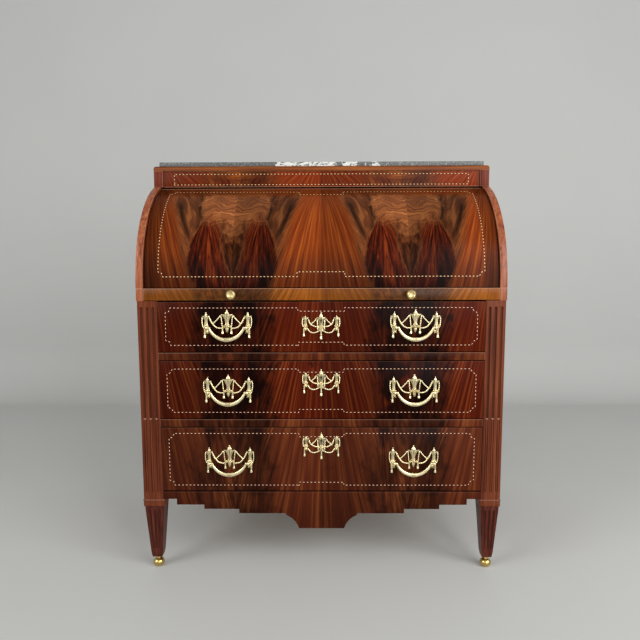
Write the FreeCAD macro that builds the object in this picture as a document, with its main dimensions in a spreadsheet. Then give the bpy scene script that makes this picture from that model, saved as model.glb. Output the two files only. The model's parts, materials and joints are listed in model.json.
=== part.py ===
"""Cylinder-front writing bureau on tapered legs, built piece by piece.

The front faces -Y, +X is the right-hand side seen from the front, and +Z is up.
The origin is on the floor, at the middle of the whole object's length and depth.
Sizes are millimetres and degrees.
"""
import FreeCAD
import Part
import Sketcher
import math
import os
import re

# Driving sizes: word, value, what it measures
SIZES = (
    ("case_width", 1040, "outside the two sides"),
    ("case_depth", 590, "drawer fronts to the outside of the back"),
    ("side_thick", 20, "side panels"),
    ("back_thick", 12, "back panel"),
    ("foot_height", 34, "floor to the underside of a leg"),
    ("ball_radius", 16.3, "brass ball of a foot, at its widest"),
    ("ball_bulge", 12.8, "round of the ball, which is a little wider than high"),
    ("ball_centre_height", 12.3, "ball centre above the floor, so the ball is flat below"),
    ("foot_neck_radius", 7, "neck over the ball"),
    ("leg_length", 163, "toe to collar"),
    ("leg_top_width", 54.5, "square leg under its collar"),
    ("ankle_width", 33, "square leg above the toe"),
    ("toe_width", 28.5, "underside of the toe"),
    ("toe_height", 14, "bevelled toe"),
    ("collar_height", 21, "block over a leg"),
    ("collar_width", 59, "block over a leg"),
    ("collar_bead_height", 5, "bead round the top of the block"),
    ("collar_bead_width", 62, "bead round the top of the block"),
    ("collar_proud", 2, "bead in front of the pilaster"),
    ("leg_flute_pitch", 13.6, "between flutes at the top of a leg"),
    ("leg_flute", 4.8, "side of a groove at the top of a leg"),
    ("leg_flute_low", 3, "side of a groove at the ankle"),
    ("leg_flute_margin", 14, "plain leg above and below its flutes"),
    ("pilaster_width", 56, "front corner posts"),
    ("pilaster_depth", 40, "front corner posts"),
    ("pilaster_inset", 2, "post inside the outer face of the side"),
    ("flute_radius", 4, "hollow flutes of a post"),
    ("flute_pitch", 16.5, "between flutes"),
    ("flute_top_margin", 17, "plain post above the flutes"),
    ("flute_low_margin", 20.5, "plain post below the flutes"),
    ("cable_length", 221, "lower stretch of a flute that holds a reed"),
    ("cable_radius", 3.2, "reed in the lower stretch"),
    ("apron_land", 21.5, "apron above the underside of the case"),
    ("apron_thick", 20, "apron board"),
    ("apron_setback", 3, "apron behind the drawer fronts"),
    ("apron_step_one", 39, "post to the first step of the apron"),
    ("apron_step_two", 80, "first step to the second"),
    ("apron_step_three", 102, "second step to the third"),
    ("apron_drop_one", 17.5, "height of the first step"),
    ("apron_drop_two", 13, "height of the second step"),
    ("apron_drop_three", 13, "height of the third step"),
    ("pendant_fillet", 5, "small step above the hollow"),
    ("pendant_hollow", 40, "radius of the hollow beside the pendant"),
    ("pendant_half", 64, "half the flat below the pendant"),
    ("floor_board_thick", 15, "board under the lowest drawer"),
    ("lower_opening", 195, "height for the lowest drawer"),
    ("middle_opening", 171.5, "height for the middle drawer"),
    ("upper_opening", 147, "height for the top drawer"),
    ("rail_height", 22, "rails between the drawers"),
    ("rail_depth", 60, "rails between the drawers"),
    ("runner_reach", 32, "runner under the edge of a drawer"),
    ("guide_height", 30, "guide beside a drawer"),
    ("running_gap", 0.3, "a slide above what carries it"),
    ("drawer_gap", 1.5, "round a drawer front"),
    ("front_thick", 22, "drawer fronts"),
    ("drawer_length", 500, "front to back of a drawer"),
    ("drawer_side_thick", 11, "sides of a drawer"),
    ("drawer_back_thick", 12, "back of a drawer"),
    ("drawer_bottom_thick", 7, "bottom of a drawer"),
    ("drawer_bottom_rise", 8, "bottom above the lower edge of the sides"),
    ("drawer_side_drop", 12, "sides below the top of the front"),
    ("lock_width", 64, "lock behind a drawer front"),
    ("lock_thick", 12, "lock behind a drawer front"),
    ("lock_tail", 22, "lock below its keyhole"),
    ("bolt_width", 22, "lock bolt"),
    ("bolt_thick", 6, "lock bolt"),
    ("bolt_length", 36, "lock bolt"),
    ("bolt_gap", 0.4, "round a lock bolt"),
    ("mortise_gap", 1, "round a bolt in the rail above"),
    ("mortise_depth", 8, "mortise for a bolt in the rail above"),
    ("upper_key_drop", 68, "top of the opening to the keyhole"),
    ("middle_key_drop", 61.5, "top of the opening to the keyhole"),
    ("lower_key_drop", 53, "top of the opening to the keyhole"),
    ("upper_handle_rise", 4, "handle above the middle of its opening"),
    ("middle_handle_rise", 0, "handle above the middle of its opening"),
    ("lower_handle_rise", -1.5, "handle above the middle of its opening"),
    ("handle_reach", 265, "centre of the case to the middle of a handle"),
    ("bed_thick", 18, "bed that carries the writing slide"),
    ("board_thick", 17, "writing slide"),
    ("board_side_room", 24, "writing slide inside a side panel"),
    ("board_length", 482, "writing slide behind its front"),
    ("slide_front_thick", 18, "front of the writing slide"),
    ("slide_gap", 1.2, "round the front of the slide and over the board"),
    ("leather_margin", 56, "board beside the leather"),
    ("leather_length", 262, "leather on the slide"),
    ("leather_thick", 1.5, "leather on the slide"),
    ("leather_setback", 40, "leather behind the front of the slide"),
    ("knob_reach", 250, "centre of the case to a slide knob"),
    ("knob_radius", 14, "slide knob"),
    ("knob_stand_out", 26, "slide knob in front of the slide"),
    ("knob_face_radius", 8, "flat face of the slide knob"),
    ("knob_neck_radius", 5.5, "slide knob"),
    ("knob_neck_length", 13, "slide to the back of the knob's head"),
    ("knob_rim", 5, "straight rim of the knob"),
    ("side_radius", 319, "curved front edge of the sides"),
    ("pivot_rise", 8, "pivot above the writing slide"),
    ("cylinder_recess", 6, "curved panel inside the edge of the sides"),
    ("cylinder_thick", 20, "curved panel"),
    ("cylinder_end_gap", 1, "between the curved panel and a side"),
    ("cylinder_low_gap", 2, "curved panel above the slide"),
    ("cylinder_high_angle", 74.5, "upper end of the curved panel, behind the frieze"),
    ("cylinder_swing", 68, "how far the curved panel opens"),
    ("roll_clearance", 2.5, "between the curved panel and the frieze"),
    ("crank_length", 140, "pivot to the crank pin"),
    ("arm_thick", 6, "quadrant arms"),
    ("arm_side_gap", 6, "quadrant arm to the side panel"),
    ("arm_seat_gap", 0.2, "quadrant rim under the curved panel"),
    ("arm_low_angle", 4, "lower end of a quadrant rim"),
    ("arm_high_angle", 71, "upper end of a quadrant rim"),
    ("arm_rim_width", 26, "quadrant rim"),
    ("arm_spoke_half", 12, "half the width of a spoke"),
    ("arm_low_spoke_angle", 12, "lower spoke"),
    ("arm_high_spoke_angle", 63, "upper spoke"),
    ("hub_radius", 22, "hub of an arm"),
    ("crank_end", 13, "tail of an arm past its pin"),
    ("crank_pin_radius", 5, "pin of a crank"),
    ("crank_pin_reach", 2, "pin past the inner face of its bracket"),
    ("slot_play", 2.3, "bracket slot beside the crank pin"),
    ("slot_end_play", 2, "bracket slot above and below the crank pin"),
    ("bracket_thick", 4, "bracket on the edge of the slide"),
    ("bracket_width", 46, "bracket on the edge of the slide"),
    ("bracket_foot", 9, "bracket below its slot"),
    ("notch_gap", 6, "bed round the bracket's path"),
    ("pivot_radius", 8, "pivot pin"),
    ("pivot_fit", 0.05, "arm bore round its pivot pin"),
    ("pivot_end", 2, "pivot pin past the inner face of its arm"),
    ("frieze_angle", 69.1, "upper end of the sides' curved edges, under the frieze"),
    ("frieze_height", 49, "frieze under the top board"),
    ("frieze_lip", 2, "frieze in front of the ends of the curved edges"),
    ("frieze_block_width", 28, "end blocks of the frieze"),
    ("frieze_block_depth", 17, "end blocks of the frieze"),
    ("frieze_recess", 5, "frieze panel behind its end blocks"),
    ("frieze_thick", 18, "frieze panel"),
    ("top_thick", 15, "top board"),
    ("top_round", 9, "rounded upper edge of the top board"),
    ("marble_thick", 13, "marble top"),
    ("marble_side_inset", 16, "marble inside the ends of the top board"),
    ("marble_front_inset", 9, "marble behind the front of the top board"),
    ("marble_round", 2, "softened edge of the marble"),
    ("nest_pivot_gap", 21, "pivot to the front of the pigeonholes"),
    ("nest_side_room", 20, "pigeonholes inside a side panel"),
    ("nest_back_gap", 70, "pigeonholes in front of the back panel"),
    ("nest_roll_gap", 30, "pigeonholes inside the open curved panel"),
    ("nest_board", 8, "boards of the pigeonholes"),
    ("nest_outer_bay", 222, "clear width of an outer bay"),
    ("nest_inner_bay", 150, "clear width of the middle bay"),
    ("nest_divider_setback", 3, "dividers behind the front of the case"),
    ("nest_drawer_share", 0.356, "small drawer's part of the clear height of its bay"),
    ("nest_gap", 0.8, "round a small drawer"),
    ("nest_wall", 7, "walls of a small drawer"),
    ("nest_tail_gap", 10, "behind a small drawer"),
    ("nest_knob_radius", 6, "knob of a small drawer"),
    ("nest_knob_stand_out", 13, "knob of a small drawer"),
    ("nest_knob_neck_radius", 2.6, "knob of a small drawer"),
    ("nest_knob_neck_length", 6, "knob of a small drawer"),
    ("ledge_gap", 8, "behind the writing slide when it is pushed home"),
    ("urn_tip_rise", 45, "finial of a handle's middle urn"),
    ("urn_lid_rise", 33.5, "lid of the urn"),
    ("urn_lid_half", 7.5, "lid of the urn"),
    ("urn_rim_rise", 31.5, "rim of the urn"),
    ("urn_rim_half", 17.5, "rim of the urn"),
    ("urn_rim_height", 3.5, "rim of the urn"),
    ("urn_waist_rise", 10, "waist of the urn"),
    ("urn_waist_half", 5.5, "waist of the urn"),
    ("urn_leaf_rise", 1, "leaves under the urn"),
    ("urn_leaf_half", 13, "leaves under the urn"),
    ("urn_leaf_height", 10, "leaves under the urn"),
    ("urn_drop", 21, "tip of the leaves below the handle's middle"),
    ("urn_depth", 7.5, "relief of the urn"),
    ("vase_reach", 59, "middle of a handle to its end vases"),
    ("vase_tip_rise", 38, "finial of an end vase"),
    ("vase_rim_rise", 27, "rim of an end vase"),
    ("vase_rim_half", 11.5, "rim of an end vase"),
    ("vase_waist_rise", 11, "waist of an end vase"),
    ("vase_waist_half", 5.5, "waist of an end vase"),
    ("vase_hub_half", 9.5, "rosette round the bail's pivot"),
    ("vase_hub_height", 12, "rosette round the bail's pivot"),
    ("vase_drop", 30, "tip of the leaf under an end vase"),
    ("vase_depth", 6, "relief of an end vase"),
    ("tip_half", 1.9, "finials and tips"),
    ("relief_bevel", 1.2, "bevelled edges of the castings"),
    ("tassel_half", 3.2, "foot of a tassel"),
    ("tassel_neck_half", 2.2, "top of a tassel"),
    ("tassel_bell", 6, "flared foot of a tassel"),
    ("garland_width", 3.2, "cast garlands"),
    ("garland_steps", 3, "straight stretches in a quarter ring of a garland"),
    ("garland_thick", 2.6, "cast garlands"),
    ("garland_sag", 34, "radius of the garlands from the vases"),
    ("garland_swag", 27, "radius of the garlands from the urn"),
    ("bail_pivot_drop", 5, "bail pivot below the handle's middle"),
    ("bail_stand_off", 13, "bail pivot in front of the drawer"),
    ("bail_pin_radius", 2, "pins of a bail, centre to corner"),
    ("pin_flats", 8, "flats round a bail's pins and their holes"),
    ("bail_pin_fit", 0.05, "ear round a bail's pin"),
    ("bail_ear_wall", 4.2, "ear round the bail's pivot"),
    ("bail_ear_half", 3, "half the width of an ear"),
    ("bail_ear_reach", 56, "middle of a handle to an ear"),
    ("bail_end_gap", 0.5, "bail beside an ear"),
    ("bail_end_width", 6, "bail at its pivots"),
    ("bail_drop", 40, "pivot to the lowest point of the bail"),
    ("bail_swell", 14, "bail at its middle"),
    ("bail_thick", 7, "bail front to back"),
    ("bail_steps", 9, "straight stretches along a bail"),
    ("key_reach", 44, "middle of an escutcheon to its end vases"),
    ("key_urn_half", 13, "urn of an escutcheon"),
    ("key_urn_rise", 21, "rim of the escutcheon's urn"),
    ("key_tip_rise", 37, "finial of the escutcheon's urn"),
    ("key_foot", 17.5, "foot of the escutcheon's urn"),
    ("key_foot_half", 6, "foot of the escutcheon's urn"),
    ("key_depth", 5.5, "relief of the escutcheon's urn"),
    ("key_tassel", 40, "tip of the middle tassel below the keyhole"),
    ("key_vase_half", 9.5, "end vases of an escutcheon"),
    ("key_vase_rise", 21, "rim of an end vase"),
    ("key_vase_tip", 27, "finial of an end vase"),
    ("key_vase_waist_half", 5, "waist of an end vase"),
    ("key_vase_waist_rise", 6, "waist of an end vase"),
    ("key_vase_hub", 5, "widest leaves below the middle"),
    ("key_vase_drop", 31, "tip of an end vase"),
    ("key_vase_depth", 4.5, "relief of an end vase"),
    ("key_swag_radius", 22, "upper garlands"),
    ("key_sag_radius", 26, "lower garlands"),
    ("keyhole_width", 3.6, "slot for the key"),
    ("keyhole_height", 12, "slot for the key"),
)

# Levels and faces that follow from the driving sizes
PLACES = (
    ("front_face", "(knob_stand_out - case_depth) / 2"),
    ("back_face", "front_face + case_depth"),
    ("back_inner", "back_face - back_thick"),
    ("half_width", "case_width / 2"),
    ("side_inner", "half_width - side_thick"),
    ("pilaster_outer", "half_width - pilaster_inset"),
    ("pilaster_inner", "pilaster_outer - pilaster_width"),
    ("drawer_half", "pilaster_inner - drawer_gap"),
    ("apron_reach_one", "pilaster_inner - apron_step_one"),
    ("apron_reach_two", "apron_reach_one - apron_step_two"),
    ("apron_reach_three", "apron_reach_two - apron_step_three"),
    ("leg_axis_x", "half_width - collar_bead_width / 2"),
    ("front_leg_y", "front_face - collar_proud + collar_bead_width / 2"),
    ("rear_leg_y", "back_face - collar_bead_width / 2"),
    ("leg_top", "foot_height + leg_length"),
    ("case_floor", "leg_top + collar_height"),
    ("lower_floor", "case_floor + apron_land"),
    ("lower_ceiling", "lower_floor + lower_opening"),
    ("middle_floor", "lower_ceiling + rail_height"),
    ("middle_ceiling", "middle_floor + middle_opening"),
    ("upper_floor", "middle_ceiling + rail_height"),
    ("upper_ceiling", "upper_floor + upper_opening"),
    ("bed_top", "upper_ceiling + bed_thick"),
    ("board_bottom", "bed_top + running_gap"),
    ("board_top", "board_bottom + board_thick"),
    ("board_half", "side_inner - board_side_room"),
    ("leather_half", "board_half - leather_margin"),
    ("board_rear", "front_face + slide_front_thick + board_length"),
    ("bed_front", "front_face + slide_front_thick + slide_gap"),
    ("pivot_y", "front_face + side_radius"),
    ("pivot_z", "board_top + pivot_rise"),
    ("roll_radius", "side_radius - cylinder_recess"),
    ("roll_inner", "roll_radius - cylinder_thick"),
    ("roll_half", "side_inner - cylinder_end_gap"),
    ("frieze_rise", "side_radius * sin(frieze_angle)"),
    ("frieze_bottom", "pivot_z + frieze_rise"),
    ("frieze_top", "frieze_bottom + frieze_height"),
    ("arc_end_y", "pivot_y - sqrt(side_radius ^ 2 - frieze_rise ^ 2)"),
    ("frieze_face", "arc_end_y - frieze_lip"),
    ("top_face", "frieze_top + top_thick"),
    ("arm_outer", "side_inner - arm_side_gap"),
    ("arm_inner", "arm_outer - arm_thick"),
    ("arm_rim_outer", "roll_inner - arm_seat_gap"),
    ("crank_half_throw", "crank_length * sin(cylinder_swing / 2)"),
    ("crank_lift", "crank_length * cos(cylinder_swing / 2)"),
    ("bracket_y", "pivot_y + crank_half_throw"),
    ("nest_front", "pivot_y + nest_pivot_gap"),
    ("nest_floor", "board_top + slide_gap"),
    ("nest_half", "side_inner - nest_side_room"),
    ("nest_rear", "back_inner - nest_back_gap"),
    ("nest_top", "pivot_z + sqrt((roll_inner - nest_roll_gap) ^ 2 - (nest_rear - pivot_y) ^ 2)"),
    ("nest_clear", "nest_top - nest_floor - 2 * nest_board"),
    ("nest_drawer_height", "nest_clear * nest_drawer_share"),
    ("bail_y", "front_face - bail_stand_off"),
)

OPENINGS = ("upper", "middle", "lower")
SIDES = (("left", -1), ("right", 1))

doc = FreeCAD.newDocument("cylinder_bureau")
sizes = doc.addObject("Spreadsheet::Sheet", "Sizes")
places = doc.addObject("Spreadsheet::Sheet", "Places")
size_words = {row[0] for row in SIZES}
place_words = {row[0] for row in PLACES}
nodes = []


def named(text):
    """Turn the plain words of a formula into references to the two sheets."""
    def owner(match):
        word = match.group(0)
        if word in size_words:
            return "Sizes." + word
        if word in place_words:
            return "Places." + word
        return word
    return re.sub(r"[a-z_]+", owner, text)


def fill_sheets():
    for row, (word, value, meaning) in enumerate(SIZES, start=1):
        sizes.set(f"A{row}", word)
        sizes.set(f"B{row}", str(value))
        sizes.set(f"C{row}", meaning)
        sizes.setAlias(f"B{row}", word)
    doc.recompute()
    for row, (word, formula) in enumerate(PLACES, start=1):
        places.set(f"A{row}", word)
        places.set(f"B{row}", "=" + named(formula))
        places.setAlias(f"B{row}", word)
        doc.recompute()


def number(text):
    return float(sizes.evalExpression(named(text)))


def bind(thing, prop, text):
    thing.setExpression(prop, named(text))


def place(thing, x="0", y="0", z="0"):
    for axis, text in (("x", x), ("y", y), ("z", z)):
        bind(thing, f"Placement.Base.{axis}", text)


def node(thing):
    """Mark a finished piece as one that is written out under its label."""
    nodes.append(thing)
    return thing


def board(label, x, y, z, length, width, height):
    """A plain board: its lowest corner and its three sizes."""
    box = doc.addObject("Part::Box", label)
    bind(box, "Length", length)
    bind(box, "Width", width)
    bind(box, "Height", height)
    place(box, x, y, z)
    return box


def cross_bar(label, radius, length, x, y, z):
    """A round bar along X that starts at the given point."""
    bar = doc.addObject("Part::Cylinder", label)
    bind(bar, "Radius", radius)
    return lay_along_x(bar, length, x, y, z)


def small_pin(label, reach, length, x, y, z):
    """A small pin along X with flats, given its centre to a corner."""
    pin = doc.addObject("Part::Prism", label)
    bind(pin, "Polygon", "pin_flats")
    bind(pin, "Circumradius", reach)
    return lay_along_x(pin, length, x, y, z)


def lay_along_x(bar, length, x, y, z):
    bar.Placement = FreeCAD.Placement(FreeCAD.Vector(), FreeCAD.Rotation(FreeCAD.Vector(0, 1, 0), 90))
    bind(bar, "Height", length)
    place(bar, x, y, z)
    return bar


def cut(label, base, tool):
    result = doc.addObject("Part::Cut", label)
    result.Base = base
    result.Tool = tool
    return result


def fused(label, members):
    result = doc.addObject("Part::MultiFuse", label)
    result.Shapes = members
    result.Refine = True
    return result


def group(label, members):
    """Separate solids that share one name."""
    result = doc.addObject("Part::Compound", label)
    result.Links = members
    return result


def mirrored(label, source):
    """The same piece on the other side of the middle."""
    result = doc.addObject("Part::Mirroring", label)
    result.Source = source
    result.Normal = (1, 0, 0)
    return result


def copy_at(label, source, x, y, z):
    """The same casting at another place."""
    result = doc.addObject("App::Link", label)
    result.LinkedObject = source
    place(result, x, y, z)
    return result


def new_body(label):
    return doc.addObject("PartDesign::Body", label)


def new_sketch(body, role, lift="0"):
    """A sketch on one of the body's own planes, moved along its normal by lift."""
    sketch = body.newObject("Sketcher::SketchObject", body.Name + "_sketch")
    support = [plane for plane in body.Origin.OriginFeatures if plane.Role == role][0]
    sketch.AttachmentSupport = [(support, "")]
    sketch.MapMode = "FlatFace"
    if lift != "0":
        bind(sketch, "AttachmentOffset.Base.z", lift)
    return sketch


def fix_point(sketch, edge, end, u, v):
    for kind, text in (("DistanceX", u), ("DistanceY", v)):
        index = sketch.addConstraint(Sketcher.Constraint(kind, -1, 1, edge, end, number(text)))
        bind(sketch, f"Constraints[{index}]", text)


def fix_radius(sketch, edge, radius):
    index = sketch.addConstraint(Sketcher.Constraint("Radius", edge, number(radius)))
    bind(sketch, f"Constraints[{index}]", radius)


def draw_circle(sketch, u, v, radius):
    centre = FreeCAD.Vector(number(u), number(v), 0)
    edge = sketch.addGeometry(Part.Circle(centre, FreeCAD.Vector(0, 0, 1), number(radius)), False)
    fix_point(sketch, edge, 3, u, v)
    fix_radius(sketch, edge, radius)


def draw_outline(sketch, corners):
    """A closed outline. A corner is (u, v), or (u, v, centre u, centre v, radius) where an arc leaves it."""
    points = [FreeCAD.Vector(number(corner[0]), number(corner[1]), 0) for corner in corners]
    edges = []
    for index, corner in enumerate(corners):
        start = points[index]
        end = points[(index + 1) % len(points)]
        if len(corner) == 2:
            edge = sketch.addGeometry(Part.LineSegment(start, end), False)
            edges.append((edge, 1, 2))
            continue
        centre = FreeCAD.Vector(number(corner[2]), number(corner[3]), 0)
        circle = Part.Circle(centre, FreeCAD.Vector(0, 0, 1), number(corner[4]))
        from_angle = math.atan2(start.y - centre.y, start.x - centre.x)
        to_angle = math.atan2(end.y - centre.y, end.x - centre.x)
        turn = (to_angle - from_angle) % (2 * math.pi)
        if turn <= math.pi:
            edge = sketch.addGeometry(Part.ArcOfCircle(circle, from_angle, from_angle + turn), False)
            edges.append((edge, 1, 2))
        else:
            back_turn = 2 * math.pi - turn
            edge = sketch.addGeometry(Part.ArcOfCircle(circle, to_angle, to_angle + back_turn), False)
            edges.append((edge, 2, 1))
    for index, (edge, first, last) in enumerate(edges):
        following, next_first, _ = edges[(index + 1) % len(edges)]
        sketch.addConstraint(Sketcher.Constraint("Coincident", edge, last, following, next_first))
    for (edge, first, last), corner in zip(edges, corners):
        fix_point(sketch, edge, first, corner[0], corner[1])
        if len(corner) == 5:
            fix_radius(sketch, edge, corner[4])


def extend(body, kind, sketch, length, backwards=False):
    """Pad or pocket a sketch. Padding an XZ sketch backwards goes to +Y."""
    feature = body.newObject("PartDesign::" + kind, body.Name + "_" + kind.lower())
    feature.Profile = sketch
    bind(feature, "Length", length)
    feature.Reversed = backwards
    return feature


def extruded(label, role, corners, length, x="0", y="0", z="0"):
    """A body with one outline, drawn on a base plane and extended towards +X, +Y or +Z."""
    body = new_body(label)
    sketch = new_sketch(body, role)
    draw_outline(sketch, corners)
    extend(body, "Pad", sketch, length, backwards=(role == "XZ_Plane"))
    place(body, x, y, z)
    return body


def turned(label, role, corners, axis):
    """A body of revolution about one axis of its sketch."""
    body = new_body(label)
    sketch = new_sketch(body, role)
    draw_outline(sketch, corners)
    feature = body.newObject("PartDesign::Revolution", body.Name + "_turned")
    feature.Profile = sketch
    feature.ReferenceAxis = (sketch, [axis])
    feature.Angle = 360
    return body


def dress(body, feature, kind, setting, size, touches):
    """Round or bevel the edges of a feature whose middle point passes the test."""
    doc.recompute()
    edges = [f"Edge{index}" for index, edge in enumerate(feature.Shape.Edges, start=1)
             if touches(edge.CenterOfMass)]
    dressing = body.newObject("PartDesign::" + kind, body.Name + "_" + kind.lower())
    dressing.Base = (feature, edges)
    bind(dressing, setting, size)


def build_feet_and_legs():
    """Four tapered legs with collars, each on a turned brass ball with a neck."""
    round_axis = "(ball_radius - ball_bulge)"
    neck_level = f"ball_centre_height + sqrt(ball_bulge ^ 2 - (foot_neck_radius - {round_axis}) ^ 2)"
    flat = f"{round_axis} + sqrt(ball_bulge ^ 2 - ball_centre_height ^ 2)"
    foot_profile = (
        ("0", "0"),
        (flat, "0", round_axis, "ball_centre_height", "ball_bulge"),
        ("foot_neck_radius", neck_level),
        ("foot_neck_radius", "foot_height"),
        ("0", "foot_height"),
    )
    foot = turned("ball_foot", "XZ_Plane", foot_profile, "V_Axis")
    feet = []
    for end, y, fluted in (("front", "front_leg_y", True), ("rear", "rear_leg_y", False)):
        for side, sign in SIDES:
            label = f"{end}_{side}"
            x = f"{sign} * leg_axis_x"
            feet.append(copy_at(f"{label}_foot", foot, x, y, "0"))
            node(build_leg(f"{label}_leg", x, y, sign, fluted))
    node(group("ball_feet", feet))


def build_leg(label, x, y, sign, fluted):
    """A square tapering leg with a bevelled toe, and a collar with a bead under the case."""
    ankle = "foot_height + toe_height"
    bead = "case_floor - collar_bead_height"
    members = []
    for name, level, height, low_width, high_width in (
            ("toe", "foot_height", "toe_height", "toe_width", "ankle_width"),
            ("shaft", ankle, f"leg_top - ({ankle})", "ankle_width", "leg_top_width"),
            ("collar", "leg_top", f"{bead} - leg_top", "collar_width", "collar_width"),
            ("bead", bead, "collar_bead_height", "collar_bead_width", "collar_bead_width")):
        post = square_post(f"{label}_{name}", height, low_width, high_width)
        post.Placement.Rotation = FreeCAD.Rotation(FreeCAD.Vector(1, 0, 0), 90)
        place(post, z=level)
        members.append(post)
    leg = fused(f"{label}_blank" if fluted else label, members)
    place(leg, x, y)
    if not fluted:
        return leg
    grooves = group(f"{label}_flutes", leg_flutes(label, sign))
    place(grooves, x, y)
    return cut(label, leg, grooves)


def square_post(label, length, low_width, high_width):
    """A square post along Y that starts at the origin and tapers along its length."""
    post = doc.addObject("Part::Wedge", label)
    bind(post, "Ymin", "0")
    bind(post, "Ymax", length)
    for low, high, width in (("Xmin", "Xmax", low_width), ("Zmin", "Zmax", low_width),
                             ("X2min", "X2max", high_width), ("Z2min", "Z2max", high_width)):
        bind(post, low, f"-{width} / 2")
        bind(post, high, f"{width} / 2")
    return post


def leg_flutes(label, sign):
    """Cutters for three grooves down the front and three down the outer face, closing up with the taper."""
    shaft = "(leg_length - toe_height)"
    slope = f"(leg_top_width - ankle_width) / 2 / {shaft}"
    rise = f"({shaft} - 2 * leg_flute_margin)"
    low_half = f"(ankle_width / 2 + leg_flute_margin * {slope})"
    high_half = f"(leg_top_width / 2 - leg_flute_margin * {slope})"
    low_pitch = f"(leg_flute_pitch * {low_half} / {high_half})"
    low_level = number("foot_height + toe_height + leg_flute_margin")
    edge_on = FreeCAD.Rotation(FreeCAD.Vector(0, 1, 0), 45)
    cutters = []
    for across in (-1, 0, 1):
        spread = f"{across} * (leg_flute_pitch - {low_pitch})"
        length = f"sqrt({rise} ^ 2 + ({high_half} - {low_half}) ^ 2 + ({spread}) ^ 2)"
        start = FreeCAD.Vector(across * number(low_pitch), -number(low_half), low_level)
        end = FreeCAD.Vector(across * number("leg_flute_pitch"), -number(high_half), low_level + number(rise))
        for face, turn in (("front", 0), ("outer", 90 * sign)):
            about_leg = FreeCAD.Rotation(FreeCAD.Vector(0, 0, 1), turn)
            run = about_leg.multVec(end - start)
            groove = square_post(f"{label}_{face}_flute_{across + 1}", length, "leg_flute_low", "leg_flute")
            along = FreeCAD.Rotation(FreeCAD.Vector(0, 1, 0), run)
            groove.Placement = FreeCAD.Placement(about_leg.multVec(start), along.multiply(edge_on))
            cutters.append(groove)
    return cutters


def build_pilasters():
    """Front corner posts with three flutes, the lower stretch of each filled with a reed."""
    length = "upper_ceiling - case_floor"
    flute_start = "case_floor + flute_low_margin"
    for side, sign in SIDES:
        body = new_body(f"{side}_pilaster")
        low, high = "-pilaster_width / 2", "pilaster_width / 2"
        sketch = new_sketch(body, "XY_Plane", "case_floor")
        draw_outline(sketch, ((low, "0"), (high, "0"), (high, "pilaster_depth"), (low, "pilaster_depth")))
        extend(body, "Pad", sketch, length)
        flutes = new_sketch(body, "XY_Plane", flute_start)
        reeds = new_sketch(body, "XY_Plane", flute_start)
        for across in (-1, 0, 1):
            draw_circle(flutes, f"{across} * flute_pitch", "0", "flute_radius")
            draw_circle(reeds, f"{across} * flute_pitch", "cable_radius", "cable_radius")
        extend(body, "Pocket", flutes, f"{length} - flute_low_margin - flute_top_margin", backwards=True)
        extend(body, "Pad", reeds, "cable_length")
        place(body, f"{sign} * (pilaster_outer - pilaster_width / 2)", "front_face")
        node(body)


def build_case():
    """Sides with curved front edges, back, floor board, apron, rails and runners."""
    side_outline = (
        ("front_face + pilaster_depth", "case_floor"),
        ("back_face", "case_floor"),
        ("back_face", "frieze_bottom"),
        ("arc_end_y", "frieze_bottom", "pivot_y", "pivot_z", "side_radius"),
        ("front_face", "pivot_z"),
        ("front_face", "upper_ceiling"),
        ("front_face + pilaster_depth", "upper_ceiling"),
    )
    for side, sign in SIDES:
        inner = "side_inner" if sign > 0 else "-half_width"
        node(extruded(f"{side}_side", "YZ_Plane", side_outline, "side_thick", x=inner))
    node(board("back_panel", "-side_inner", "back_inner", "case_floor",
               "2 * side_inner", "back_thick", "frieze_top - case_floor"))
    apron_back = "front_face + apron_setback + apron_thick"
    behind_posts = "front_face + pilaster_depth"
    floor_outline = (
        ("-pilaster_inner", apron_back), ("pilaster_inner", apron_back),
        ("pilaster_inner", behind_posts), ("side_inner", behind_posts),
        ("side_inner", "back_inner"), ("-side_inner", "back_inner"),
        ("-side_inner", behind_posts), ("-pilaster_inner", behind_posts),
    )
    node(extruded("bottom_board", "XY_Plane", floor_outline, "floor_board_thick",
                  z="lower_floor - floor_board_thick"))
    node(build_apron())
    for label, level, drop in (("upper_rail", "middle_ceiling", "middle"),
                               ("lower_rail", "lower_ceiling", "lower")):
        rail = board(f"{label}_blank", "-pilaster_inner", "front_face", level,
                     "2 * pilaster_inner", "rail_depth", "rail_height")
        node(cut(label, rail, bolt_mortise(f"{drop}_mortise", level)))
    node(build_runners())


def bolt_mortise(label, ceiling):
    """Space for a lock bolt in what lies over a drawer."""
    return board(label, "-bolt_width / 2 - mortise_gap",
                 "front_face + front_thick + (lock_thick - bolt_thick) / 2 - mortise_gap", ceiling,
                 "bolt_width + 2 * mortise_gap", "bolt_thick + 2 * mortise_gap", "mortise_depth")


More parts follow.
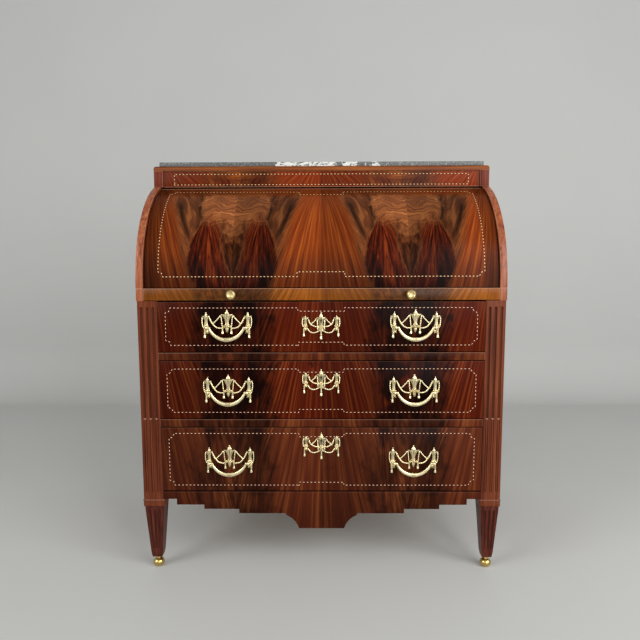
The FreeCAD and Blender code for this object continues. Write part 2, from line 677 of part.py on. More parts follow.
def build_apron():
    """Board under the lowest drawer, stepped down to a pendant with hollowed shoulders."""
    level_one = "case_floor - apron_drop_one"
    level_two = f"{level_one} - apron_drop_two"
    level_three = f"{level_two} - apron_drop_three"
    hollow_top = f"{level_three} - pendant_fillet"
    pendant = f"{hollow_top} - pendant_hollow"
    shoulder = "pendant_half + pendant_hollow"
    left = (
        ("-pilaster_inner", "lower_floor"), ("-pilaster_inner", "case_floor"),
        ("-apron_reach_one", "case_floor"), ("-apron_reach_one", level_one),
        ("-apron_reach_two", level_one), ("-apron_reach_two", level_two),
        ("-apron_reach_three", level_two), ("-apron_reach_three", level_three),
        (f"-({shoulder})", level_three),
        (f"-({shoulder})", hollow_top, f"-({shoulder})", pendant, "pendant_hollow"),
        ("-pendant_half", pendant),
    )
    right = (
        ("pendant_half", pendant, shoulder, pendant, "pendant_hollow"),
        (shoulder, hollow_top), (shoulder, level_three),
        ("apron_reach_three", level_three), ("apron_reach_three", level_two),
        ("apron_reach_two", level_two), ("apron_reach_two", level_one),
        ("apron_reach_one", level_one), ("apron_reach_one", "case_floor"),
        ("pilaster_inner", "case_floor"), ("pilaster_inner", "lower_floor"),
    )
    return extruded("apron", "XZ_Plane", left + right, "apron_thick", y="front_face + apron_setback")


def build_runners():
    """Runners with guides beside the upper two drawers, and guides on the floor board."""
    strips = []
    start = "front_face + rail_depth"
    for level in ("upper", "middle"):
        floor = f"{level}_floor"
        inner = "pilaster_inner - runner_reach"
        profile = (
            (inner, f"{floor} - rail_height"), ("side_inner", f"{floor} - rail_height"),
            ("side_inner", f"{floor} + guide_height"), ("pilaster_inner", f"{floor} + guide_height"),
            ("pilaster_inner", floor), (inner, floor),
        )
        runner = extruded(f"{level}_right_runner", "XZ_Plane", profile, f"back_inner - ({start})", y=start)
        strips.append(runner)
        strips.append(mirrored(f"{level}_left_runner", runner))
    behind_posts = "front_face + pilaster_depth"
    guide = board("lower_right_guide", "pilaster_inner", behind_posts, "lower_floor",
                  "side_inner - pilaster_inner", f"back_inner - ({behind_posts})", "guide_height")
    strips.append(guide)
    strips.append(mirrored("lower_left_guide", guide))
    return group("drawer_runners", strips)


def build_top():
    """Frieze hollowed for the curved panel, its end blocks, the rounded top board and the marble."""
    roll_room = cross_bar("roll_room", "roll_radius + roll_clearance", "case_width",
                          "-half_width", "pivot_y", "pivot_z")
    inner_room = cross_bar("block_room", "roll_radius + roll_clearance", "2 * side_inner",
                           "-side_inner", "pivot_y", "pivot_z")
    block_inner = "half_width - frieze_block_width"
    frieze = board("frieze_blank", f"-({block_inner})", "frieze_face + frieze_recess", "frieze_bottom",
                   f"2 * ({block_inner})", "frieze_thick", "frieze_height")
    node(cut("frieze_panel", frieze, roll_room))
    block_back = "frieze_face + frieze_block_depth"
    block_outline = (
        (block_inner, "frieze_face"), ("half_width", "frieze_face"), ("half_width", "back_face"),
        ("side_inner", "back_face"), ("side_inner", block_back), (block_inner, block_back),
    )
    block = extruded("block_blank", "XY_Plane", block_outline, "frieze_height", z="frieze_bottom")
    right = cut("right_frieze_end", block, inner_room)
    node(group("frieze_ends", [right, mirrored("left_frieze_end", right)]))
    node(rounded_slab("top_board", "half_width", "frieze_face", "frieze_top", "top_thick", "top_round"))
    node(rounded_slab("marble_top", "half_width - marble_side_inset", "frieze_face + marble_front_inset",
                      "top_face", "marble_thick", "marble_round"))


def rounded_slab(label, half, front, level, thick, round_radius):
    """A slab that reaches the back, with its upper front and end edges rounded."""
    body = new_body(label)
    sketch = new_sketch(body, "XY_Plane", level)
    left = f"-({half})"
    draw_outline(sketch, ((left, front), (half, front), (half, "back_face"), (left, "back_face")))
    slab = extend(body, "Pad", sketch, thick)
    top = number(f"{level} + {thick}")
    rear = number("back_face")
    slack = number(thick) / 4
    dress(body, slab, "Fillet", "Radius", round_radius,
          lambda middle: middle.z > top - slack and middle.y < rear - slack)
    return body


def build_cylinder():
    """Curved panel on two quadrant arms, each a bell crank whose tail is driven by the writing slide."""
    low = "pivot_z - board_top - cylinder_low_gap"
    panel_outline = (
        (f"-sqrt(roll_radius ^ 2 - ({low}) ^ 2)", f"-({low})", "0", "0", "roll_radius"),
        ("-roll_radius * cos(cylinder_high_angle)", "roll_radius * sin(cylinder_high_angle)"),
        ("-roll_inner * cos(cylinder_high_angle)", "roll_inner * sin(cylinder_high_angle)",
         "0", "0", "roll_inner"),
        (f"-sqrt(roll_inner ^ 2 - ({low}) ^ 2)", f"-({low})"),
    )
    node(extruded("cylinder_panel", "YZ_Plane", panel_outline, "2 * roll_half",
                  "-roll_half", "pivot_y", "pivot_z"))
    arm = build_quadrant_arm("right_quadrant_arm")
    node(arm)
    node(mirrored("left_quadrant_arm", arm))
    pin = cross_bar("right_pivot_pin", "pivot_radius", "side_inner - arm_inner + pivot_end",
                    "arm_inner - pivot_end", "pivot_y", "pivot_z")
    node(group("pivot_pins", [pin, mirrored("left_pivot_pin", pin)]))


def bar_outline(along_u, along_v, length, half):
    """Corners of a straight bar from the pivot along a direction, given as its two components."""
    corners = []
    for distance, side in (("0", 1), (length, 1), (length, -1), ("0", -1)):
        u = f"({distance}) * ({along_u}) - {side} * {half} * ({along_v})"
        v = f"({distance}) * ({along_v}) + {side} * {half} * ({along_u})"
        corners.append((u, v))
    return tuple(corners)


def build_quadrant_arm(label):
    """Iron arm: hub, two spokes, a rim under the curved panel, and a tail with the crank pin."""
    body = new_body(label)
    hub = new_sketch(body, "YZ_Plane")
    draw_circle(hub, "0", "0", "hub_radius")
    extend(body, "Pad", hub, "arm_thick")
    rim_inner = "arm_rim_outer - arm_rim_width"
    rim = []
    for radius, first, last in (("arm_rim_outer", "arm_low_angle", "arm_high_angle"),
                                (rim_inner, "arm_high_angle", "arm_low_angle")):
        rim.append((f"-({radius}) * cos({first})", f"({radius}) * sin({first})", "0", "0", radius))
        rim.append((f"-({radius}) * cos({last})", f"({radius}) * sin({last})"))
    spoke_end = f"{rim_inner} + arm_rim_width / 2"
    outlines = [bar_outline("sin(cylinder_swing / 2)", "-cos(cylinder_swing / 2)",
                            "crank_length + crank_end", "arm_spoke_half")]
    for angle in ("arm_low_spoke_angle", "arm_high_spoke_angle"):
        outlines.append(bar_outline(f"-cos({angle})", f"sin({angle})", spoke_end, "arm_spoke_half"))
    outlines.append(tuple(rim))
    for outline in outlines:
        sketch = new_sketch(body, "YZ_Plane")
        draw_outline(sketch, outline)
        extend(body, "Pad", sketch, "arm_thick")
    bore = new_sketch(body, "YZ_Plane")
    draw_circle(bore, "0", "0", "pivot_radius + pivot_fit")
    extend(body, "Pocket", bore, "arm_thick", backwards=True)
    pin = new_sketch(body, "YZ_Plane")
    draw_circle(pin, "crank_half_throw", "-crank_lift", "crank_pin_radius")
    extend(body, "Pad", pin, "arm_inner - board_half + crank_pin_reach", backwards=True)
    place(body, "arm_inner", "pivot_y", "pivot_z")
    return body


def build_slide():
    """Writing slide on its bed: board, front with two knobs, leather, and brackets for the cranks."""
    notch_inner = "board_half - notch_gap / 2"
    notch_front = "pivot_y - crank_half_throw - bracket_width / 2 - notch_gap"
    notch_rear = "pivot_y + crank_half_throw + bracket_width / 2 + notch_gap"
    bed_outline = (
        ("-side_inner", "bed_front"), ("side_inner", "bed_front"), ("side_inner", notch_front),
        (notch_inner, notch_front), (notch_inner, notch_rear), ("side_inner", notch_rear),
        ("side_inner", "back_inner"), ("-side_inner", "back_inner"), ("-side_inner", notch_rear),
        (f"-({notch_inner})", notch_rear), (f"-({notch_inner})", notch_front), ("-side_inner", notch_front),
    )
    bed = extruded("bed_blank", "XY_Plane", bed_outline, "bed_thick", z="upper_ceiling")
    node(cut("slide_bed", bed, bolt_mortise("upper_mortise", "upper_ceiling")))
    front_level = "upper_ceiling + slide_gap"
    front_half = "side_inner - slide_gap"
    node(board("slide_front", f"-({front_half})", "front_face", front_level,
               f"2 * ({front_half})", "slide_front_thick", f"board_top - ({front_level})"))
    blank = board("board_blank", "-board_half", "front_face + slide_front_thick", "board_bottom",
                  "2 * board_half", "board_length", "board_thick")
    leather_front = "front_face + slide_front_thick + leather_setback"
    leather = ("-leather_half", leather_front, "board_top - leather_thick",
               "2 * leather_half", "leather_length", "leather_thick")
    node(cut("writing_board", blank, board("leather_recess", *leather)))
    node(board("leather_inset", *leather))
    knob_level = f"(board_top + {front_level}) / 2"
    knob = build_knob("slide_knob", "", (("knob_radius", "-knob_neck_length - knob_rim"),
                                         ("knob_face_radius", "-knob_stand_out")))
    knobs = [copy_at(f"{side}_slide_knob", knob, f"{sign} * knob_reach", "front_face", knob_level)
             for side, sign in SIDES]
    node(group("slide_knobs", knobs))
    bracket = build_bracket("right_slide_bracket")
    node(group("slide_brackets", [bracket, mirrored("left_slide_bracket", bracket)]))


def build_knob(label, kind, face):
    """Turned knob that stands out to the front.

    kind is the first word of its sizes, and face has the corners of its front.
    """
    neck_radius, neck_length = f"{kind}knob_neck_radius", f"{kind}knob_neck_length"
    back = ((neck_radius, "0"), (neck_radius, f"-{neck_length}"), (f"{kind}knob_radius", f"-{neck_length}"))
    front = tuple(face) + (("0", f"-{kind}knob_stand_out"),)
    return turned(label, "XY_Plane", (("0", "0"),) + back + front, "V_Axis")


def build_bracket(label):
    """Steel plate on the edge of the slide, with an upright slot for the crank pin."""
    slot_half = "crank_pin_radius + slot_play"
    slot_low = "pivot_z - crank_length - crank_pin_radius - slot_end_play"
    slot_high = "pivot_z - crank_lift + crank_pin_radius + slot_end_play"
    body = new_body(label)
    sketch = new_sketch(body, "YZ_Plane")
    for half, low, high in (("bracket_width / 2", f"{slot_low} - bracket_foot", "board_top"),
                            (slot_half, slot_low, slot_high)):
        front, rear = f"bracket_y - ({half})", f"bracket_y + {half}"
        draw_outline(sketch, ((front, low), (rear, low), (rear, high), (front, high)))
    extend(body, "Pad", sketch, "bracket_thick")
    place(body, "board_half")
    return body


def build_nest():
    """Pigeonholes at the back of the desk, with a small drawer in each outer bay."""
    floor_top = "nest_floor + nest_board"
    ceiling = "nest_top - nest_board"
    clear = "nest_clear"
    back = "nest_rear - nest_board"
    ledge_front = "board_rear + ledge_gap"
    shell = [
        board("nest_floor_board", "-nest_half", "nest_front", "nest_floor",
              "2 * nest_half", "back_inner - nest_front", "nest_board"),
        board("nest_ledge", "-board_half", ledge_front, "bed_top",
              "2 * board_half", f"back_inner - ({ledge_front})", "nest_floor - bed_top"),
        board("nest_top_board", "-nest_half", "nest_front", ceiling,
              "2 * nest_half", "nest_rear - nest_front", "nest_board"),
        board("nest_back_board", "-nest_half + nest_board", back, floor_top,
              "2 * (nest_half - nest_board)", "nest_board", clear),
    ]
    front = "nest_front + nest_divider_setback"
    depth = f"{back} - ({front})"
    bay_end = "nest_half - nest_board"
    outer_bay = f"({bay_end} - nest_outer_bay)"
    shelf_level = f"{floor_top} + nest_drawer_height"
    dividers = []
    for side, sign in SIDES:
        end_x = bay_end if sign > 0 else "-nest_half"
        shell.append(board(f"{side}_nest_end", end_x, "nest_front", floor_top,
                           "nest_board", "nest_rear - nest_front", clear))
        outer_x = f"{outer_bay} - nest_board" if sign > 0 else f"-{outer_bay}"
        inner_x = "nest_inner_bay / 2" if sign > 0 else "-nest_inner_bay / 2 - nest_board"
        for name, x in (("outer", outer_x), ("inner", inner_x)):
            dividers.append(board(f"{side}_{name}_divider", x, front, floor_top, "nest_board", depth, clear))
        bay_x = outer_bay if sign > 0 else f"-({bay_end})"
        dividers.append(board(f"{side}_nest_shelf", bay_x, front, shelf_level,
                              "nest_outer_bay", depth, "nest_board"))
    node(group("nest_case", shell))
    node(group("nest_dividers", dividers))
    knob = build_knob("nest_knob", "nest_", (("nest_knob_radius", "-nest_knob_stand_out"),))
    for side, sign in SIDES:
        bay_x = outer_bay if sign > 0 else f"-({bay_end})"
        node(build_nest_drawer(side, bay_x, front, floor_top, knob))


def build_nest_drawer(side, bay_x, front, floor_top, knob):
    """Small open tray with a turned knob."""
    bottom = f"{floor_top} + running_gap"
    height = "nest_drawer_height - running_gap - nest_gap"
    depth = f"nest_rear - nest_board - nest_tail_gap - ({front})"
    width = "nest_outer_bay - 2 * nest_gap"
    outer = board(f"{side}_tray_blank", f"{bay_x} + nest_gap", front, bottom, width, depth, height)
    inner = board(f"{side}_tray_hollow", f"{bay_x} + nest_gap + nest_wall", f"{front} + nest_wall",
                  f"{bottom} + nest_wall", f"{width} - 2 * nest_wall", f"{depth} - 2 * nest_wall", height)
    tray = cut(f"{side}_tray", outer, inner)
    pull = copy_at(f"{side}_tray_knob", knob, f"{bay_x} + nest_outer_bay / 2", front,
                   f"{bottom} + ({height}) / 2")
    return group(f"nest_drawer_{side}", [tray, pull])


def build_drawers():
    """Three drawers, each with its front, box, bottom, lock, escutcheon and two bail handles."""
    plate = build_handle_plate("handle_plate")
    bail = build_bail("bail")
    escutcheon = build_escutcheon("escutcheon")
    for level in OPENINGS:
        floor, ceiling = f"{level}_floor", f"{level}_ceiling"
        build_drawer_box(level, floor, ceiling)
        build_lock(level, ceiling)
        handle_z = f"({floor} + {ceiling}) / 2 + {level}_handle_rise"
        plates = []
        for side, sign in SIDES:
            x = f"{sign} * handle_reach"
            plates.append(copy_at(f"{level}_{side}_plate", plate, x, "front_face", handle_z))
            node(copy_at(f"{level}_{side}_bail", bail, x, "bail_y", f"{handle_z} - bail_pivot_drop"))
        node(group(f"{level}_handle_plates", plates))
        node(copy_at(f"{level}_escutcheon", escutcheon, "0", "front_face", f"{ceiling} - {level}_key_drop"))


def build_drawer_box(level, floor, ceiling):
    top = f"{ceiling} - drawer_gap"
    node(board(f"{level}_drawer_front", "-drawer_half", "front_face", f"{floor} + drawer_gap",
               "2 * drawer_half", "front_thick", f"{top} - ({floor} + drawer_gap)"))
    base = f"{floor} + running_gap"
    wall_height = f"{top} - drawer_side_drop - ({base})"
    behind_front = "front_face + front_thick"
    inner_half = "drawer_half - drawer_side_thick"
    side = board(f"{level}_right_drawer_side", inner_half, behind_front, base,
                 "drawer_side_thick", "drawer_length - front_thick", wall_height)
    other = mirrored(f"{level}_left_drawer_side", side)
    back_y = "front_face + drawer_length - drawer_back_thick"
    back = board(f"{level}_drawer_back", f"-({inner_half})", back_y, base,
                 f"2 * ({inner_half})", "drawer_back_thick", wall_height)
    node(group(f"{level}_drawer_box", [side, other, back]))
    node(board(f"{level}_drawer_bottom", f"-({inner_half})", behind_front, f"{base} + drawer_bottom_rise",
               f"2 * ({inner_half})", f"{back_y} - ({behind_front})", "drawer_bottom_thick"))


def build_lock(level, ceiling):
    """Lock case behind the front, with a bolt that rises out of its top."""
    top = f"{ceiling} - drawer_gap"
    behind_front = "front_face + front_thick"
    case = board(f"{level}_lock_blank", "-lock_width / 2", behind_front,
                 f"{ceiling} - {level}_key_drop - lock_tail",
                 "lock_width", "lock_thick", f"{level}_key_drop + lock_tail - drawer_gap")
    bolt_y = f"{behind_front} + (lock_thick - bolt_thick) / 2"
    channel = board(f"{level}_lock_channel", "-bolt_width / 2 - bolt_gap", f"{bolt_y} - bolt_gap",
                    f"{top} - bolt_length - bolt_gap",
                    "bolt_width + 2 * bolt_gap", "bolt_thick + 2 * bolt_gap", "bolt_length + bolt_gap")
    node(cut(f"{level}_lock", case, channel))
    node(board(f"{level}_lock_bolt", "-bolt_width / 2", bolt_y, f"{top} - bolt_length",
               "bolt_width", "bolt_thick", "bolt_length"))


def relief(label, half_outline, depth):
    """Cast relief on a flat back, the same on both sides of its middle, with bevelled edges.

    half_outline runs from the bottom up, each corner its half width and its level.
    """
    body = new_body(label)
    sketch = new_sketch(body, "XZ_Plane")
    draw_outline(sketch, both_sides(half_outline))
    casting = extend(body, "Pad", sketch, depth)
    near_face = -number(depth) * 3 / 4
    dress(body, casting, "Chamfer", "Size", "relief_bevel", lambda middle: middle.y < near_face)
    return body


def both_sides(half_outline):
    right = tuple(half_outline)
    left = tuple((f"-({half})", level) for half, level in reversed(right))
    return right + left


def quarter_garland(label, u, v, radius, toward):
    """Quarter of a cast ring, in straight stretches, below its centre and on one side of it.

    toward is -1 for the left and 1 for the right.
    """
    steps = round(number("garland_steps"))
    corners = []
    for reach, order in ((f"({radius} + garland_width / 2)", range(steps + 1)),
                         (f"({radius} - garland_width / 2)", range(steps, -1, -1))):
        for step in order:
            angle = f"{step} * 90 / garland_steps"
            corners.append((f"{u} + {toward} * {reach} * cos({angle})", f"{v} - {reach} * sin({angle})"))
    return extruded(label, "XZ_Plane", corners, "garland_thick", y="-garland_thick")


def build_handle_plate(label):
    """Cast plate: an urn between two vases, joined by garlands, with an ear for the bail at each vase."""
    urn = relief("handle_urn", (
        ("tip_half", "-urn_drop"),
        ("urn_leaf_half", "urn_leaf_rise - urn_leaf_height"), ("urn_leaf_half", "urn_leaf_rise"),
        ("urn_waist_half", "urn_waist_rise"), ("urn_rim_half", "urn_rim_rise - urn_rim_height"),
        ("urn_rim_half", "urn_rim_rise"), ("urn_lid_half", "urn_lid_rise"), ("tip_half", "urn_tip_rise"),
    ), "urn_depth")
    hub_low = "-bail_pivot_drop - vase_hub_height / 2"
    hub_high = f"{hub_low} + vase_hub_height"
    vase = extruded("handle_vase", "XZ_Plane", both_sides((
        ("tip_half", "-vase_drop"), ("vase_hub_half", hub_low), ("vase_hub_half", hub_high),
        ("vase_waist_half", "vase_waist_rise"), ("vase_rim_half", "vase_rim_rise"),
        ("tip_half", "vase_tip_rise"),
    )), "vase_depth", x="vase_reach", y="-vase_depth")
    sag = quarter_garland("handle_sag", "urn_leaf_half", "vase_rim_rise", "garland_sag", 1)
    swag = quarter_garland("handle_swag", "urn_rim_half + garland_swag", "urn_rim_rise", "garland_swag", -1)
    ear = board("bail_ear", "bail_ear_reach - bail_ear_half", "-bail_stand_off - bail_ear_wall",
                "-bail_pivot_drop - bail_ear_wall", "2 * bail_ear_half", "bail_stand_off + bail_ear_wall",
                "2 * bail_ear_wall")
    right_half = fused("plate_right_half", [vase, sag, swag, ear])
    whole = fused("plate_whole", [urn, right_half, mirrored("plate_left_half", right_half)])
    reach = "bail_ear_reach + bail_ear_half + bail_end_gap"
    pin_room = small_pin("bail_pin_room", "(bail_pin_radius + bail_pin_fit) / cos(180 / pin_flats)",
                         f"2 * ({reach})", f"-({reach})", "-bail_stand_off", "-bail_pivot_drop")
    return cut(label, whole, pin_room)


def build_bail(label):
    """Swag-shaped bail that swings on two pins in the ears of its plate. Its origin is on the pivot."""
    outer = "bail_ear_reach - bail_ear_half - bail_end_gap"
    inner = f"({outer} - bail_end_width)"
    end = "bail_thick / 2"
    low_edge = swag_curve(f"({outer})", "bail_drop")
    high_edge = swag_curve(inner, "(bail_drop - bail_swell)")
    right_end = ((outer, end), (inner, end))
    left_end = ((f"-{inner}", end), (f"-({outer})", end))
    corners = low_edge + right_end + high_edge[::-1] + left_end
    swag = extruded("bail_swag", "XZ_Plane", corners, "bail_thick", y="-bail_thick / 2")
    root = f"({inner} + bail_end_width / 2)"
    pin_end = "(bail_ear_reach + bail_ear_half)"
    pins = [small_pin(f"bail_{side}_pin", "bail_pin_radius", f"{pin_end} - {root}", start, "0", "0")
            for side, start in (("left", f"-{pin_end}"), ("right", root))]
    return fused(label, [swag] + pins)


def swag_curve(half, drop):
    """Points of a hanging arc from left to right, in equal straight stretches."""
    radius = f"(({half} ^ 2 + {drop} ^ 2) / (2 * {drop}))"
    spread = f"acos(1 - {drop} / {radius})"
    steps = round(number("bail_steps"))
    points = []
    for step in range(steps + 1):
        angle = f"({step} * 2 / bail_steps - 1) * {spread}"
        points.append((f"{radius} * sin({angle})", f"{radius} * (1 - cos({angle})) - {drop}"))
    return tuple(points)


def build_escutcheon(label):
    """Cast key plate: an urn with the keyhole between two small vases, joined by garlands."""
    urn = relief("key_urn", (
        ("tassel_half", "-key_tassel"), ("tassel_neck_half", "-key_tassel + tassel_bell"),
        ("tassel_neck_half", "-key_foot - key_foot_half"), ("key_foot_half", "-key_foot"),
        ("key_urn_half", "-key_vase_hub"), ("key_urn_half", "key_urn_rise"), ("tip_half", "key_tip_rise"),
    ), "key_depth")
    vase = extruded("key_vase", "XZ_Plane", both_sides((
        ("tassel_half", "-key_vase_drop"), ("tassel_neck_half", "-key_foot"),
        ("key_vase_half", "-key_vase_hub"), ("key_vase_waist_half", "key_vase_waist_rise"),
        ("key_vase_half", "key_vase_rise"), ("tip_half", "key_vase_tip"),
    )), "key_vase_depth", x="key_reach", y="-key_vase_depth")
    swag = quarter_garland("key_swag", "key_urn_half + key_swag_radius", "key_urn_rise",
                           "key_swag_radius", -1)
    sag_x = "key_reach - key_sag_radius"
    sag = quarter_garland("key_sag", sag_x, "key_sag_radius - key_foot", "key_sag_radius", 1)
    foot_bar = board("key_foot_bar", "0", "-garland_thick", "-key_foot - garland_width / 2",
                     sag_x, "garland_thick", "garland_width")
    right_half = fused("key_right_half", [vase, swag, sag, foot_bar])
    whole = fused("key_whole", [urn, right_half, mirrored("key_left_half", right_half)])
    slot = board("keyhole", "-keyhole_width / 2", "-2 * key_depth", "-keyhole_height / 2",
                 "keyhole_width", "3 * key_depth", "keyhole_height")
    return cut(label, whole, slot)


def check_and_write():
    """Stop on any failed feature, then write one file for each piece."""
    doc.recompute()
    failed = [thing.Label for thing in doc.Objects if {"Invalid", "Error"} & set(thing.State)]
    if failed:
        raise RuntimeError("failed features: " + ", ".join(failed))
    os.makedirs("parts", exist_ok=True)
    shapes = {}
    for thing in nodes:
        shape = Part.getShape(thing)
        if shape.isNull() or not shape.isValid() or not shape.Solids:
            raise RuntimeError("no sound solid for " + thing.Label)
        shapes[thing.Label] = shape
    for label, shape in shapes.items():
        shape.exportStep(f"parts/{label}.step")
    print(len(shapes), "pieces written")


fill_sheets()
build_feet_and_legs()
build_pilasters()
build_case()
build_top()
build_cylinder()
build_slide()
build_nest()
build_drawers()
check_and_write()
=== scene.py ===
"""Looks of a cylinder-front bureau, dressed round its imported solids.

Mesh code works in millimetres and is brought to metres when a piece is finished.
The front looks towards -Y, up is +Z, right is +X.
"""
import json
import math

import bmesh
import bpy
from mathutils import Euler, Matrix, Vector

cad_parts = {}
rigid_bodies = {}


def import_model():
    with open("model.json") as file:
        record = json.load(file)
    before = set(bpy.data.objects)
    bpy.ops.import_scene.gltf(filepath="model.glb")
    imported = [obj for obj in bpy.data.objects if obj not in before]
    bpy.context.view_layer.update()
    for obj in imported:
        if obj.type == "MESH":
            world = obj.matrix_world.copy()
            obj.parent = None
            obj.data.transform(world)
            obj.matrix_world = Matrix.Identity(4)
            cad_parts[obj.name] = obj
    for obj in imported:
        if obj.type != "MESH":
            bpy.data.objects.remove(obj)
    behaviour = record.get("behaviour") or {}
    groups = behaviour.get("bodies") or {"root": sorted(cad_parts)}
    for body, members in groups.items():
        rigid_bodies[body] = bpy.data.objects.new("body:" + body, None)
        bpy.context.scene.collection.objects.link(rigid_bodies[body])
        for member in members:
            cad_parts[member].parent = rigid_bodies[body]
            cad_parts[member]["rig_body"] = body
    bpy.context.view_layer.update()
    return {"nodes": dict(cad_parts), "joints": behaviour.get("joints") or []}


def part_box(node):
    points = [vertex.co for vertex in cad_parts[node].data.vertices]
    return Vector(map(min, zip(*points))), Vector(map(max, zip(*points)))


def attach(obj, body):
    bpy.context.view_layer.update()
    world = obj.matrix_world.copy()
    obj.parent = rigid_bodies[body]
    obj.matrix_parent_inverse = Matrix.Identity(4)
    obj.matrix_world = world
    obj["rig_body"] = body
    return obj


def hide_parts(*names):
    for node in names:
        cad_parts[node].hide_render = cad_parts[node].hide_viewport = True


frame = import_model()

NODES = frame["nodes"]
JOINTS = {row["name"]: row for row in frame["joints"]}
MM = 0.001
UP = Vector((0, 0, 1))
OUT = Vector((0, -1, 0))
LEVELS = ("upper", "middle", "lower")


def edges_mm(node):
    """Lowest and highest corner of a solid in millimetres."""
    low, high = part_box(node)
    return low / MM, high / MM


PIVOT = Vector(JOINTS["cylinder_roll"]["pos_m"]) / MM
FACE = edges_mm("upper_drawer_front")[0].y
BACK = edges_mm("back_panel")[1].y
ROLL_HALF = edges_mm("cylinder_panel")[1].x
ROLL_RADIUS = PIVOT.y - edges_mm("cylinder_panel")[0].y
ROLL_THICK = 20
SIDE_RADIUS = PIVOT.y - edges_mm("right_side")[0].y
FRIEZE_LOW, FRIEZE_HIGH = (corner.z for corner in edges_mm("frieze_ends"))
FRIEZE_FACE = edges_mm("frieze_panel")[0].y
CASE_FLOOR = edges_mm("left_pilaster")[0].z
POST_TOP = edges_mm("left_pilaster")[1].z


# Finishes

def srgb(code):
    """Linear colour of an sRGB hex value."""
    parts = [int(code[i:i + 2], 16) / 255 for i in (1, 3, 5)]
    linear = [c / 12.92 if c <= 0.04045 else ((c + 0.055) / 1.055) ** 2.4 for c in parts]
    return (*linear, 1.0)


def feed(tree, node, inputs):
    """Give a node's sockets their values, colours or links."""
    for key, value in inputs.items():
        if isinstance(value, bpy.types.Node):
            value = next(socket for socket in value.outputs if socket.enabled)
        if isinstance(value, bpy.types.NodeSocket):
            tree.links.new(value, node.inputs[key])
        elif isinstance(value, str):
            node.inputs[key].default_value = srgb(value)
        else:
            node.inputs[key].default_value = value


def add(tree, kind, inputs=None, stops=None, **settings):
    """Add a node with its settings, its values or links, and the stops of its ramp."""
    node = tree.nodes.new(kind)
    for name, value in settings.items():
        setattr(node, name, value)
    feed(tree, node, inputs or {})
    if stops:
        elements = node.color_ramp.elements
        elements[0].position, elements[-1].position = stops[0][0], stops[-1][0]
        elements[0].color, elements[-1].color = srgb(stops[0][1]), srgb(stops[-1][1])
        for position, colour in stops[1:-1]:
            elements.new(position).color = srgb(colour)
    return node


def new_finish(name, **constants):
    """A material with one shader; constants go on the shader's own sockets."""
    material = bpy.data.materials.new(name)
    material.use_nodes = True
    tree = material.node_tree
    shader = tree.nodes["Principled BSDF"]
    feed(tree, shader, {socket.replace("_", " "): value for socket, value in constants.items()})
    return material, tree, shader


SMOOTH = {"interpolation_type": "SMOOTHSTEP"}
EDGE_HIGHLIGHT = "#c49a82"     # painted highlight, pale, along the edges
LEAF = 0.25                 # width in metres of one book-matched leaf of veneer
# edges of the wedge, the flames and the wing, as distances in metres from the leaf joint: slope in height,
# start, least, most, softness
CURVED_EDGES = ((0.27, -0.006, 0.0, 0.060, 0.014), (-0.12, 0.128, 0.0, 0.2, 0.014),
                (0.25, 0.116, 0.0, 0.25, 0.012))
FLAT_EDGES = ((0.0, 0.028, 0.0, 0.1, 0.03), (0.0, 0.064, 0.0, 0.2, 0.03), (0.0, 0.108, 0.0, 0.25, 0.04))


